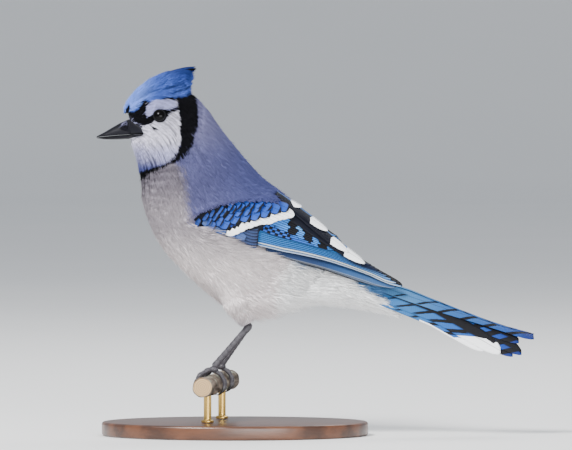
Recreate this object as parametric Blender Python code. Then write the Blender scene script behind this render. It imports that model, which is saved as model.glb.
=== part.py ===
"""Blue jay at life size, gripping a short cut branch that a plain display stand holds.

The bird faces -X, its left side is towards -Y, and +Z is up. The origin is the centre of the
base's underside. Tables are in millimetres, and every shape is made from them in metres.
"""

import math

import bmesh
import bpy
import numpy as np

MM = 0.001

# Gaps that touching nodes keep
GAP = 0.35 * MM
RING_GAP = 0.07  # the same gap, counted in rings of the body

# Stand
BASE_LENGTH, BASE_WIDTH, BASE_HEIGHT = 152 * MM, 112 * MM, 8 * MM
BASE_BEVEL = 1.6 * MM
ROD_RADIUS = 2.2 * MM
ROD_SPACING = 44 * MM  # between the two rods, along the branch
ROD_SOCKET = 2.5 * MM

# Branch
PERCH_RADIUS = 6 * MM
PERCH_X, PERCH_Z = -11.5 * MM, 29.5 * MM
PERCH_NEAR, PERCH_FAR = -38 * MM, 48 * MM
PERCH_TURN = math.radians(10)  # away from square to the bird

# Body, as rings from the bill's root to the vent. Each row is the belly point's x and z, the
# back point's x and z, and half of the width
BODY_RINGS = (
    (-60.0, 168.5, -60.2, 181.5, 5.8),
    (-58.0, 163.5, -60.5, 189.0, 10.5),
    (-56.0, 157.0, -53.0, 196.5, 14.0),
    (-54.5, 150.5, -39.5, 200.0, 16.3),
    (-53.5, 143.5, -26.0, 195.5, 17.3),
    (-53.0, 135.5, -17.0, 187.5, 19.0),
    (-50.5, 126.0, -8.5, 175.5, 21.8),
    (-46.0, 115.0, 2.0, 162.0, 24.6),
    (-39.0, 104.0, 13.5, 149.0, 25.8),
    (-28.0, 93.0, 25.0, 137.0, 25.6),
    (-16.0, 81.5, 34.5, 124.5, 24.6),
    (-1.0, 71.5, 43.0, 113.5, 22.2),
    (15.5, 69.0, 51.0, 102.5, 18.0),
    (30.0, 73.5, 56.8, 90.4, 12.2),
    (45.5, 76.0, 63.8, 82.2, 7.0),
    (62.5, 75.0, 73.0, 77.4, 4.2),
    (80.0, 72.0, 84.0, 73.3, 2.6),
    (94.0, 69.0, 95.3, 69.6, 1.2),
)
HEAD_END, NECK_END, TORSO_END, VENT_END = 4.4, 6.4, 12.4, 17.0
BODY_SIDES = 22

# Sheet that the folded wings lie on, outside the body, in rings of the same kind
WING_RINGS = (
    (-53.0, 135.5, -17.0, 187.5, 19.0),
    (-50.5, 126.0, -8.5, 175.5, 21.8),
    (-46.0, 115.0, 2.0, 162.0, 24.6),
    (-39.0, 104.0, 13.5, 149.0, 25.8),
    (-28.0, 93.0, 25.0, 137.0, 25.6),
    (-16.0, 81.5, 35.5, 128.0, 24.8),
    (-1.0, 71.5, 45.5, 119.8, 23.0),
    (15.5, 69.0, 55.5, 112.0, 20.6),
    (30.0, 74.0, 64.5, 104.6, 18.4),
    (44.0, 77.5, 73.0, 98.2, 15.6),
    (57.0, 76.0, 81.0, 93.6, 13.2),
    (70.0, 73.5, 88.7, 89.2, 11.2),
    (82.5, 70.5, 96.5, 84.6, 9.6),
    (95.0, 67.5, 104.0, 80.0, 8.2),
    (110.0, 61.0, 116.5, 74.0, 7.5),
)

# Crest, as rings of the same kind from the forehead back. The last ones only guide feathers
CREST_RINGS = (
    (-60.2, 181.9, -62.5, 185.0, 3.0),
    (-56.5, 182.5, -60.3, 191.0, 7.5),
    (-50.0, 182.0, -54.0, 197.3, 9.5),
    (-43.0, 183.0, -46.0, 202.2, 9.6),
    (-36.0, 184.0, -37.0, 205.8, 8.8),
    (-30.0, 186.5, -29.0, 208.2, 6.6),
    (-26.0, 190.5, -22.8, 209.8, 3.8),
    (-22.0, 194.0, -17.5, 211.0, 2.0),
)
CREST_END = 4.95
CREST_DOME = ((0.86, 1.4), (0.6, 2.6), (0.3, 3.2))  # the core's end: size, and millimetres past
# Bill: distance from the root to the tip, culmen height, mouth line height, keel height, half
# width of the upper bill
BILL_ROOT = -60.6
BILL_ROWS = (
    (0.0, 180.0, 171.6, 169.2, 5.2),
    (5.0, 178.4, 171.2, 168.9, 4.5),
    (9.5, 176.2, 170.9, 168.8, 3.7),
    (13.5, 173.6, 170.5, 168.9, 2.7),
    (16.5, 171.6, 170.2, 169.3, 1.6),
    (18.4, 170.4, 169.9, 169.6, 0.6),
)
MOUTH_GAP = 0.32
GAPE = (-52.5, 171.8)  # the mouth's corner in side view
GAPE_HEIGHT, GAPE_DEPTH = 1.2, 1.3
NOSTRIL_AT = (-64.6, 3.6, 176.3)  # x, distance from the midline, z
NOSTRIL_SIZE = (1.7, 0.9, 0.7)

# Eye
EYE_X, EYE_Z = -43.0, 182.0
EYE_RADIUS = 4.1
EYE_PROUD = 1.75  # how far the ball stands out of the head
LID_LENGTH, LID_HEIGHT = 4.25, 3.55  # from the eye's centre to the middle of the rim
LID_THICK = 0.9

# Crest feathers in side view, from the lowest row up: root x and z, tip x and z, width
CREST_FEATHERS = (
    (-57.5, 183.5, -44.0, 189.5, 5.6),
    (-47.5, 185.0, -33.0, 191.0, 5.8),
    (-39.5, 187.0, -27.0, 194.0, 5.0),
    (-59.5, 185.5, -48.0, 194.5, 5.4),
    (-51.5, 189.0, -38.0, 197.0, 5.8),
    (-42.0, 192.0, -25.2, 200.5, 5.6),
    (-61.0, 187.5, -52.5, 198.5, 4.8),
    (-56.0, 193.5, -45.0, 202.5, 5.2),
    (-49.0, 197.0, -35.5, 205.0, 5.4),
    (-40.5, 199.5, -23.8, 207.0, 5.2),
    (-38.0, 203.3, -22.6, 210.8, 4.6),
)

# Tail: the ridge of its roof in side view, under the feathers
TAIL_RIDGE = (
    (56.0, 94.0), (80.0, 86.8), (92.0, 83.0), (99.8, 80.4), (109.4, 76.4), (123.3, 71.0),
    (138.9, 64.8),
    (152.7, 60.0), (172.0, 55.0), (180.0, 52.5),
)
# Tail feathers of one side: the shaft in side view at the root, the middle and the tip, the
# widths of the outer and the inner web, and the lift. The first is the central one, on top
TAIL_FEATHERS = (
    ((58.0, 92.6), (116.0, 71.8), (169.8, 54.0), 3.2, 5.6, 2.3),
    ((62.0, 90.0), (114.0, 71.2), (150.6, 49.8), 5.6, 7.0, 1.9),
    ((64.0, 86.5), (108.0, 69.0), (144.0, 47.8), 5.2, 6.5, 1.5),
    ((60.0, 92.5), (114.0, 71.5), (161.5, 53.2), 3.6, 7.2, 1.1),
    ((61.0, 91.0), (112.0, 71.0), (163.0, 47.0), 3.6, 7.2, 0.7),
    ((62.0, 89.5), (110.0, 70.0), (158.0, 46.2), 3.6, 7.2, 0.3),
)
# The knob that the tail feathers grow from
TAIL_ROOT, TAIL_ROOT_RADII = ((57, 0, 94.3), (63, 0, 92.4), (72, 0, 89.6)), (2.0, 2.9, 2.0)
RIDGE_OVERLAP = 3.0  # how far the left central feather reaches over the right one

# Legs
FOOT_SPREAD = 11.5  # half of the distance between the feet
ANKLE = (8.0, 62.5)
TARSUS_TOP_RADIUS, TARSUS_RADIUS = 2.3, 1.75
SCUTES = 8
THIGH_TOP = (-4.0, 13.0, 86.0)  # x, distance from the midline, z
THIGH_RADII = ((0.0, 8.0), (0.25, 8.8), (0.5, 7.8), (0.72, 5.7), (0.88, 4.0), (1.0, 3.0))
TOE_RADIUS = 1.45
TOE_REACH = {"inner": (38, 105), "middle": (8, 128), "outer": (-30, 105), "hind": (180, 100)}
CLAW_TURN, CLAW_RADIUS = 42, 1.15

# Flight feathers in side view: the line of their roots and of their tips, from the innermost
# to the lowest, and how far their outer faces stand off the wing's sheet
PRIMARY_COUNT = 7
PRIMARY_ROOTS = ((13.0, 113.6), (11.5, 107.5))
PRIMARY_TIPS = ((76.0, 97.0), (86.0, 91.0), (97.5, 85.5), (93.0, 83.8))
PRIMARY_LIFT = 1.65
SECONDARY_COUNT = 5
SECONDARY_ROOTS = ((11.5, 114.8), (10.0, 122.5))
SECONDARY_TIPS = ((62.5, 98.5), (71.0, 101.0))
SECONDARY_LIFT = 3.75
TERTIAL_LIFT = 4.5
# Tertials in side view, from the longest up: root x and z, tip x and z, width
TERTIALS = (
    (14.5, 125.5, 74.0, 99.3, 8.6),
    (16.0, 128.0, 65.0, 106.8, 8.2),
    (18.0, 130.5, 52.0, 117.0, 7.2),
)

# Tiers of wing coverts: the line of their tips, the lie at both ends in degrees, a feather's
# length and width, how many, and the lift of the tips at both ends of the line
COVERT_ROWS = (
    (((-2.0, 115.5), (4.0, 119.5), (14.5, 124.5), (25.0, 127.3), (33.0, 127.3)), (-31, -20),
     17.0, 7.6, 7, (5.7, 7.0)),
    (((-9.5, 117.0), (-1.5, 121.5), (9.0, 127.0), (22.5, 129.5)), (-30, -20), 11.5, 7.4, 5,
     (6.1, 7.4)),
    (((-16.5, 119.0), (-9.0, 124.0), (0.0, 129.0), (11.5, 131.5)), (-28, -18), 9.5, 6.8, 4,
     (5.6, 7.2)),
)
# Coverts of the primaries, from the uppermost down, with the lifts of root and tip
PRIMARY_COVERT_TIPS = ((13.5, 118.3), (14.0, 105.5))
PRIMARY_COVERT_LIFTS = ((4.6, 6.0), (4.4, 5.95), (4.2, 5.9), (3.9, 5.9), (2.2, 4.4))
# Thumb feathers along the wing's front edge: root, tip and lifts
THUMB_FEATHERS = (
    ((-16.0, 118.0), (-1.5, 111.5), (2.6, 4.0)),
    ((-12.0, 116.0), (3.5, 108.3), (2.0, 3.4)),
)
# Edges of the folded arm under the coverts, in side view
ARM_LOWER = ((-26.0, 122.0), (-12.0, 116.0), (0.0, 110.5), (4.5, 106.5))
ARM_UPPER = ((-25.0, 126.5), (-12.0, 131.5), (2.0, 135.0), (12.0, 133.5))
ARM_BASE, ARM_HEIGHT = 0.5, 3.9

SHARP_ANGLE = math.radians(38)

# Feather vanes
VANE_THICK = 0.6
CREST_THICK = 0.75
LONG_STATIONS = (0, 0.38, 0.74, 0.91, 1)
MIDDLE_STATIONS = (0, 0.42, 0.76, 1)
SHORT_STATIONS = (0, 0.72, 1)
TAIL_STATIONS = (0, 0.4, 0.85, 0.955, 1)


def colour(name, red, green, blue, roughness, metallic=0.0):
    """A plain Principled material."""
    material = bpy.data.materials.new(name)
    material.use_nodes = True
    shader = material.node_tree.nodes["Principled BSDF"]
    shader.inputs["Base Color"].default_value = (red, green, blue, 1)
    shader.inputs["Roughness"].default_value = roughness
    shader.inputs["Metallic"].default_value = metallic
    return material


def make_materials():
    return {
        "face_feathers": colour("face_feathers", 0.62, 0.64, 0.74, 0.85),
        "breast_feathers": colour("breast_feathers", 0.56, 0.54, 0.54, 0.85),
        "back_feathers": colour("back_feathers", 0.16, 0.19, 0.42, 0.8),
        "wing_feathers": colour("wing_feathers", 0.05, 0.18, 0.55, 0.6),
        "tail_feathers": colour("tail_feathers", 0.09, 0.27, 0.58, 0.6),
        "bill_horn": colour("bill_horn", 0.02, 0.02, 0.025, 0.35),
        "eye": colour("eye", 0.012, 0.009, 0.008, 0.08),
        "leg_scale": colour("leg_scale", 0.07, 0.07, 0.085, 0.55),
        "branch_bark": colour("branch_bark", 0.16, 0.13, 0.1, 0.9),
        "stand_wood": colour("stand_wood", 0.09, 0.05, 0.03, 0.4),
        "stand_brass": colour("stand_brass", 0.6, 0.43, 0.18, 0.3, 1.0),
    }


def clear_scene():
    for old in list(bpy.data.objects):
        bpy.data.objects.remove(old, do_unlink=True)


def make_object(name, points, faces, material=None):
    """An object from points in millimetres."""
    mesh = bpy.data.meshes.new(name)
    mesh.from_pydata([tuple(float(c) * MM for c in p) for p in points], [], faces)
    mesh.validate()
    made = bpy.data.objects.new(name, mesh)
    bpy.context.scene.collection.objects.link(made)
    if material:
        mesh.materials.append(material)
    return made


def mirrored(source, name):
    """A copy of a left side's object for the right side."""
    mesh = source.data.copy()
    for vertex in mesh.vertices:
        vertex.co.y = -vertex.co.y
    mesh.flip_normals()
    made = bpy.data.objects.new(name, mesh)
    bpy.context.scene.collection.objects.link(made)
    return made


class Form:
    """A smooth form through rings. Angle 0 is the back, and angles up to pi are the left side."""

    def __init__(self, rings, steps=40):
        self.rings = np.array(rings, float)
        self.last = len(rings) - 1
        self.grid = np.linspace(0, self.last, self.last * steps + 1)
        self.samples = np.array([self.ring(r) for r in self.grid])

    def ring(self, r):
        """Belly x and z, back x and z, and half width at r, by a Catmull-Rom curve."""
        r = min(max(r, 0.0), float(self.last))
        i = min(int(r), self.last - 1)
        t = r - i
        before, here, after, beyond = (
            self.rings[min(max(i + k, 0), self.last)] for k in (-1, 0, 1, 2)
        )
        return 0.5 * (
            2 * here
            + (after - before) * t
            + (2 * before - 5 * here + 4 * after - beyond) * t**2
            + (3 * here - before - 3 * after + beyond) * t**3
        )

    def surface(self, r, angle):
        vx, vz, dx, dz, half = self.ring(r)
        up, out = math.cos(angle), math.sin(angle)
        x = (vx + dx) / 2 + (dx - vx) / 2 * up
        z = (vz + dz) / 2 + (dz - vz) / 2 * up
        return np.array((x, -half * out, z))

    def normal(self, r, angle):
        low, high = max(r - 0.05, 0), min(r + 0.05, self.last)
        along = self.surface(high, angle) - self.surface(low, angle)
        around = self.surface(r, angle + 0.02) - self.surface(r, angle - 0.02)
        out = np.cross(around, along)
        return out / (np.linalg.norm(out) + 1e-9)

    def point(self, r, angle, lift=0.0):
        return self.surface(r, angle) + self.normal(r, angle) * lift

    def place(self, p):
        """The ring and the angle that a point in space lies at."""
        s = self.samples
        axis = s[:, 2:4] - s[:, 0:2]
        past = axis[:, 0] * (p[2] - s[:, 1]) - axis[:, 1] * (p[0] - s[:, 0])
        turned = np.nonzero((past[:-1] <= 0) != (past[1:] <= 0))[0]
        middles = (s[:, 0:2] + s[:, 2:4]) / 2
        off = np.hypot(middles[:, 0] - p[0], middles[:, 1] - p[2])
        if len(turned):
            k = turned[np.argmin(off[turned])]
            r = self.grid[k] + (self.grid[1] - self.grid[0]) * past[k] / (past[k] - past[k + 1])
        else:
            r = 0.0 if off[0] < off[-1] else float(self.last)
        vx, vz, dx, dz, half = self.ring(r)
        ux, uz = (dx - vx) / 2, (dz - vz) / 2
        up = ((p[0] - (vx + dx) / 2) * ux + (p[2] - (vz + dz) / 2) * uz) / (ux * ux + uz * uz)
        return r, up, -p[1] / half

    def side(self, x, z, lift=0.0):
        """The point of the left side that is seen at x and z from the side."""
        r, up, _ = self.place((x, 0, z))
        return self.point(r, math.acos(min(max(up, -0.995), 0.995)), lift)


def loft(form, start, end, rings, sides, lift=0.0, dome=()):
    """Points and faces of the form from ring start to ring end, closed by a cap at each end.

    Each row of the dome is a smaller copy of the last ring, moved out past it.
    """
    points, faces = [], []
    for i in range(rings + 1):
        r = start + (end - start) * i / rings
        for k in range(sides):
            points.append(form.point(r, 2 * math.pi * k / sides, lift))
    last = np.array(points[-sides:])
    centre = last.mean(axis=0)
    out = centre - np.mean(points[-2 * sides:-sides], axis=0)
    for share, past in dome:
        points.extend(centre + (last - centre) * share + out / np.linalg.norm(out) * past)
    rings += len(dome)
    for i in range(rings):
        for k in range(sides):
            a, b = i * sides + k, i * sides + (k + 1) % sides
            faces.append((a, b, b + sides, a + sides))
    faces.append(tuple(range(sides))[::-1])
    faces.append(tuple(range(rings * sides, (rings + 1) * sides)))
    return points, faces


def tube(path, radii, sides, squash=1.0):
    """A closed tube through points, with a radius at each."""
    path = [np.array(p, float) for p in path]
    points, faces = [], []
    across = None
    for i, p in enumerate(path):
        along = path[min(i + 1, len(path) - 1)] - path[max(i - 1, 0)]
        along /= np.linalg.norm(along)
        if across is None:
            across = np.cross(along, (0.0, 1.0, 0.0) if abs(along[1]) < 0.9 else (1.0, 0.0, 0.0))
        across = across - along * np.dot(across, along)
        across /= np.linalg.norm(across)
        other = np.cross(along, across)
        for k in range(sides):
            turn = 2 * math.pi * k / sides
            points.append(
                p + radii[i] * (across * math.cos(turn) + other * math.sin(turn) * squash)
            )
    for i in range(len(path) - 1):
        for k in range(sides):
            a, b = i * sides + k, i * sides + (k + 1) % sides
            faces.append((a, b, b + sides, a + sides))
    faces.append(tuple(range(sides))[::-1])
    faces.append(tuple(range((len(path) - 1) * sides, len(path) * sides)))
    return points, faces


def blade(rows, thick):
    """A closed vane from rows of points across it, each a point and its normal.

    Both faces are split into triangles alike, so that a curved vane doesn't cross itself.
    """
    wide = len(rows[0])
    points, faces = [], []
    for row in rows:
        points += [p for p, _ in row]
        points += [p - n * thick for p, n in row]
    for i in range(len(rows) - 1):
        a, b = 2 * wide * i, 2 * wide * (i + 1)
        for k in range(wide - 1):
            c, d = a + wide + k, b + wide + k
            faces += [(a + k, a + k + 1, b + k + 1), (a + k, b + k + 1, b + k)]
            faces += [(c, d + 1, c + 1), (c, d, d + 1)]
        low, high = a + wide - 1, b + wide - 1
        faces += [(a, b, b + wide), (a, b + wide, a + wide)]
        faces += [(low, high + wide, high), (low, low + wide, high + wide)]
    end = 2 * wide * (len(rows) - 1)
    for k in range(wide - 1):
        faces += [(k, k + wide, k + wide + 1), (k, k + wide + 1, k + 1)]
        faces += [(end + k, end + k + wide + 1, end + k + wide)]
        faces += [(end + k, end + k + 1, end + k + wide + 1)]
    return points, faces


def outline_share(t, root=0.6, shoulder=0.72, end=1.03):
    """A vane's width at t from root to tip, as a share of its full width.

    The round tip would close at t = end.
    """
    taper = max((t - shoulder) / (end - shoulder), 0.0)
    return min(root + 2.2 * t, 1.0) * math.sqrt(max(1 - taper**2, 0.0))


def vane(form, root, tip, width, lifts, rise=0.3, bow=0.0, tilt=0.0, stations=LONG_STATIONS,
         thick=VANE_THICK):
    """A feather's vane that lies on the form's left side, from root to tip in side view.

    The two lifts are the heights of its outer face over the form at root and tip. Its lower edge
    stands out by the tilt, so that it lies over the next feather down like a roof tile.
    """
    root, tip = np.array(root, float), np.array(tip, float)
    aside = np.array((tip[1] - root[1], root[0] - tip[0])) * bow

    def shaft(t):
        x, z = root + (tip - root) * t + aside * math.sin(math.pi * t)
        return form.side(x, z)

    rows = []
    shares = [(-1, tilt / 2), (0, rise), (1, -tilt / 2)]
    if not rise:
        shares.pop(1)
    for t in stations:
        along = shaft(t + 0.02) - shaft(t - 0.02)
        centre = shaft(t)
        r, up, out = form.place(centre)
        normal = form.normal(r, math.atan2(out, up))
        across = np.cross(normal, along)
        across /= np.linalg.norm(across)
        half = width / 2 * outline_share(t, end=1.01 if len(stations) > 4 else 1.03)
        lift = lifts[0] + (lifts[1] - lifts[0]) * t
        row = []
        for share, extra in shares:
            place = centre + across * half * share
            r, up, out = form.place(place)
            angle = math.atan2(max(out, 0.03), up)
            row.append((form.point(r, angle, lift + extra), form.normal(r, angle)))
        rows.append(row)
    return blade(rows, thick)


def pad(form, lower, upper, count, across, base, height):
    """A soft closed pad on the form's left side, between two lines in side view."""
    rows, flat = [], []
    for i in range(count + 1):
        t = i / count
        low, high = along_line(lower, t), along_line(upper, t)
        row, under = [], []
        for k in range(across + 1):
            s = k / across
            x, z = low + (high - low) * s
            swell = (math.sin(math.pi * (0.08 + 0.84 * s)) * math.sin(math.pi * (0.1 + 0.7 * t)))
            r, up, out = form.place((x, 0, z))
            angle = math.acos(min(max(up, -0.995), 0.995))
            row.append(form.point(r, angle, base + 0.6 + height * swell**0.8))
            under.append(form.point(r, angle, base))
        rows.append(row)
        flat.append(under)
    points = [p for pair in zip(rows, flat) for line in pair for p in line]
    wide = across + 1
    faces = []
    for i in range(count):
        a, b = 2 * wide * i, 2 * wide * (i + 1)
        for k in range(across):
            c, d = a + wide + k, b + wide + k
            faces += [(a + k, b + k, b + k + 1), (a + k, b + k + 1, a + k + 1)]
            faces += [(c, d + 1, d), (c, c + 1, d + 1)]
        low, high = a + wide - 1, b + wide - 1
        faces += [(a, b + wide, b), (a, a + wide, b + wide)]
        faces += [(low, high, high + wide), (low, high + wide, low + wide)]
    end = 2 * wide * count
    for k in range(across):
        faces += [(k, k + 1, k + wide + 1), (k, k + wide + 1, k + wide)]
        faces += [(end + k, end + k + wide, end + k + wide + 1)]
        faces += [(end + k, end + k + wide + 1, end + k + 1)]
    return points, faces


def fuse(name, pieces, material, cutters=()):
    """One closed body from overlapping pieces, less the cutters. It keeps the largest surface."""
    made = make_object(name, *pieces[0], material)
    helpers = bpy.data.collections.new(name + "_pieces")
    bpy.context.scene.collection.children.link(helpers)
    for number, (points, faces) in enumerate(pieces[1:]):
        piece = make_object(f"{name}_piece_{number}", points, faces)
        bpy.context.scene.collection.objects.unlink(piece)
        helpers.objects.link(piece)
    if len(pieces) > 1:
        join = made.modifiers.new("join", "BOOLEAN")
        join.operation = "UNION"
        join.operand_type = "COLLECTION"
        join.collection = helpers
        join.solver = "EXACT"
        apply_modifiers(made)
    for points, faces in cutters:
        cutter = make_object(name + "_cutter", points, faces)
        cut = made.modifiers.new("cut", "BOOLEAN")
        cut.operation = "DIFFERENCE"
        cut.object = cutter
        cut.solver = "EXACT"
        apply_modifiers(made)
        bpy.data.objects.remove(cutter, do_unlink=True)
    for piece in list(helpers.objects):
        bpy.data.objects.remove(piece, do_unlink=True)
    bpy.data.collections.remove(helpers)
    keep_largest(made)
    return made


def apply_modifiers(made):
    graph = bpy.context.evaluated_depsgraph_get()
    mesh = bpy.data.meshes.new_from_object(made.evaluated_get(graph))
    made.modifiers.clear()
    made.data = mesh


def keep_largest(made):
    """Drops every closed surface of a mesh but the largest."""
    mesh = bmesh.new()
    mesh.from_mesh(made.data)
    bmesh.ops.triangulate(mesh, faces=mesh.faces)
    seen, islands = set(), []
    for face in mesh.faces:
        if face.index in seen:
            continue
        island, waiting = [], [face]
        seen.add(face.index)
        while waiting:
            here = waiting.pop()
            island.append(here)
            for edge in here.edges:
                for other in edge.link_faces:
                    if other.index not in seen:
                        seen.add(other.index)
                        waiting.append(other)
        islands.append(island)
    islands.sort(key=lambda island: sum(face.calc_area() for face in island))
    for island in islands[:-1]:
        bmesh.ops.delete(mesh, geom=island, context="FACES")
    loose = [v for v in mesh.verts if not v.link_faces]
    bmesh.ops.delete(mesh, geom=loose, context="VERTS")
    mesh.to_mesh(made.data)
    mesh.free()


def ball(centre, radii, sides=12, rings=8):
    """A closed ellipsoid whose poles point sideways."""
    points = [np.array(centre) + (0, -radii[1], 0)]
    for i in range(1, rings):
        polar = math.pi * i / rings
        for k in range(sides):
            turn = 2 * math.pi * k / sides
            points.append(
                np.array(centre)
                + (
                    radii[0] * math.sin(polar) * math.cos(turn),
                    -radii[1] * math.cos(polar),
                    radii[2] * math.sin(polar) * math.sin(turn),
                )
            )
    points.append(np.array(centre) + (0, radii[1], 0))
    faces = [(0, 1 + k, 1 + (k + 1) % sides) for k in range(sides)]
    for i in range(rings - 2):
        for k in range(sides):
            a, b = 1 + i * sides + k, 1 + i * sides + (k + 1) % sides
            faces.append((a, a + sides, b + sides, b))
    last, row = len(points) - 1, 1 + (rings - 2) * sides
    faces += [(last, row + (k + 1) % sides, row + k) for k in range(sides)]
    return points, faces


def both_sides(piece):
    """The piece and its mirror image."""
    points, faces = piece
    return piece, ([p * (1, -1, 1) for p in points], [face[::-1] for face in faces])


# Head


def eye_depth(body):
    """How far from the midline the ball's centre is."""
    return -body.side(EYE_X, EYE_Z)[1] - EYE_RADIUS + EYE_PROUD


def eye_lids(body):
    """A raised rim round the left eye, a little longer than high, in the head's own surface."""
    sides, around = 4, 14
    points, faces = [], []
    for k in range(around):
        turn = 2 * math.pi * k / around
        x = EYE_X + LID_LENGTH * math.cos(turn)
        z = EYE_Z + LID_HEIGHT * math.sin(turn)
        centre = body.side(x, z)
        inward = np.array((EYE_X, centre[1], EYE_Z)) - centre
        inward /= np.linalg.norm(inward)
        for j in range(sides):
            bend = 2 * math.pi * j / sides
            points.append(
                centre
                + inward * LID_THICK * math.cos(bend)
                + np.array((0, -1, 0)) * LID_THICK * math.sin(bend)
            )
    for k in range(around):
        for j in range(sides):
            a, b = k * sides + j, k * sides + (j + 1) % sides
            c, d = (k + 1) % around * sides + (j + 1) % sides, (k + 1) % around * sides + j
            faces.append((a, b, c, d))
    return points, faces


def along_line(line, share):
    """The point at a share of a line's length, in side view."""
    line = np.array(line)
    steps = np.hypot(*np.diff(line, axis=0).T)
    at = np.concatenate(([0], np.cumsum(steps))) / steps.sum()
    return np.array((np.interp(share, at, line[:, 0]), np.interp(share, at, line[:, 1])))


def crest_feathers(crest):
    """Tiers of crest feathers, combed back over the fin of the crest."""
    for k, (root_x, root_z, tip_x, tip_z, width) in enumerate(CREST_FEATHERS):
        lift = 0.75 + 0.06 * k
        yield vane(crest, (root_x, root_z), (tip_x, tip_z), width, (lift - 0.5, lift), 0, 0,
                   0.6, MIDDLE_STATIONS, CREST_THICK)


def gape_cut(body):
    """A thin wedge along the mouth's line, from the bill's root back under the eye."""
    first = np.array((BILL_ROOT, BILL_ROWS[0][2]))
    points, faces = [], []
    rows = 5
    for i in range(rows):
        t = i / (rows - 1)
        x, z = first + (np.array(GAPE) - first) * t
        y = body.side(max(x, -59.5), z)[1]
        tall = GAPE_HEIGHT / 2 * (1 - 0.5 * t)
        points += [(x, y - 1, z + tall), (x, y + GAPE_DEPTH * (1 - 0.5 * t), z), (x, y - 1, z - tall)]
    for a in range(0, 3 * (rows - 1), 3):
        for k, m in ((0, 1), (1, 2), (2, 0)):
            faces += [(a + k, a + 3 + k, a + 3 + m), (a + k, a + 3 + m, a + m)]
    end = 3 * (rows - 1)
    faces += [(0, 1, 2), (end + 2, end + 1, end)]
    return [np.array(p) for p in points], faces


def make_head(body, materials):
    crest = Form(CREST_RINGS)
    core = loft(crest, 0, CREST_END, 7, 14, dome=CREST_DOME)
    pieces = [loft(body, 0, HEAD_END, 12, BODY_SIDES), core]
    pieces.extend(both_sides(eye_lids(body)))
    for feather in crest_feathers(crest):
        pieces.extend(both_sides(feather))
    gap = GAP / MM
    depth = eye_depth(body)
    sockets = both_sides(ball((EYE_X, -depth, EYE_Z), [EYE_RADIUS + gap] * 3, 12, 8))
    mouth = both_sides(gape_cut(body))
    return fuse("head", pieces, materials["face_feathers"], [*sockets, *mouth])


def make_eyes(body, materials):
    depth = eye_depth(body)
    for side, sign in (("left", -1), ("right", 1)):
        points, faces = ball((EYE_X, sign * depth, EYE_Z), [EYE_RADIUS] * 3, 12, 8)
        make_object("eye_" + side, points, faces, materials["eye"])


def bill_half(upper):
    """One half of the bill: the upper one is arched and the lower one is keeled."""
    points, faces = [], []
    arc = 8
    for back, culmen, mouth, keel, half in BILL_ROWS:
        flat, high = (mouth + MOUTH_GAP / 2, culmen) if upper else (mouth - MOUTH_GAP / 2, keel)
        half = half if upper else half * 0.9
        for k in range(arc + 1):
            turn = math.pi * k / arc
            side = math.copysign(abs(math.cos(turn)) ** 0.8, math.cos(turn))
            points.append(
                (BILL_ROOT - back, -half * side, flat + (high - flat) * math.sin(turn) ** 1.15)
            )
    row = arc + 1
    for i in range(len(BILL_ROWS) - 1):
        for k in range(row):
            a, b = i * row + k, i * row + (k + 1) % row
            faces.append((a, b, b + row, a + row) if upper else (a, a + row, b + row, b))
    first, last = tuple(range(row)), tuple(range((len(BILL_ROWS) - 1) * row, len(BILL_ROWS) * row))
    faces += [first[::-1], last] if upper else [first, last[::-1]]
    return points, faces


def make_bill(materials):
    nostrils = both_sides(
        ball((NOSTRIL_AT[0], -NOSTRIL_AT[1], NOSTRIL_AT[2]), NOSTRIL_SIZE, 8, 6)
    )
    fuse("bill_upper", [bill_half(True)], materials["bill_horn"], nostrils)
    fuse("bill_lower", [bill_half(False)], materials["bill_horn"])


# Trunk


def make_trunk(body, materials):
    make_object(
        "neck",
        *loft(body, HEAD_END + RING_GAP, NECK_END, 4, BODY_SIDES),
        materials["back_feathers"],
    )
    make_object(
        "torso",
        *loft(body, NECK_END + RING_GAP, TORSO_END, 11, BODY_SIDES),
        materials["breast_feathers"],
    )
    make_object(
        "vent",
        *loft(body, TORSO_END + RING_GAP, VENT_END, 8, BODY_SIDES),
        materials["breast_feathers"],
    )


# Wings


def spread(first, last, count):
    """Points evenly spaced from the first to the last, in side view."""
    first, last = np.array(first, float), np.array(last, float)
    return [first + (last - first) * k / max(count - 1, 1) for k in range(count)]


def curve_points(line, count):
    return [along_line(line, k / max(count - 1, 1)) for k in range(count)]


def primaries(sheet):
    """The long outer flight feathers. The last one is lowest, along the folded wing's edge."""
    tips = curve_points(PRIMARY_TIPS, PRIMARY_COUNT)
    for root, tip in zip(spread(*PRIMARY_ROOTS, PRIMARY_COUNT), tips):
        yield vane(sheet, root, tip, 6.8, (PRIMARY_LIFT, PRIMARY_LIFT), 0, 0.015, 1.0)


def secondaries(sheet):
    """The inner flight feathers, with the three broad tertials on top."""
    tips = spread(*SECONDARY_TIPS, SECONDARY_COUNT)
    lifts = (SECONDARY_LIFT, SECONDARY_LIFT)
    for root, tip in zip(spread(*SECONDARY_ROOTS, SECONDARY_COUNT), tips):
        yield vane(sheet, root, tip, 7.6, lifts, 0, 0.02, 1.1)
    lifts = (TERTIAL_LIFT, TERTIAL_LIFT)
    for root_x, root_z, tip_x, tip_z, width in TERTIALS:
        yield vane(sheet, (root_x, root_z), (tip_x, tip_z), width, lifts, 0.25, 0.03, 1.0)


def coverts(sheet):
    """The tiers of coverts over the arm. Every feather points back and down."""
    for line, lies, length, width, count, lifts in COVERT_ROWS:
        for k, tip in enumerate(curve_points(line, count)):
            share = k / (count - 1)
            lie = math.radians(lies[0] + (lies[1] - lies[0]) * share)
            root = tip - np.array((math.cos(lie), math.sin(lie))) * length
            lift = lifts[0] + (lifts[1] - lifts[0]) * share
            yield vane(sheet, root, tip, width, (lift - 0.6, lift), 0, 0, 0.7, SHORT_STATIONS)


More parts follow.
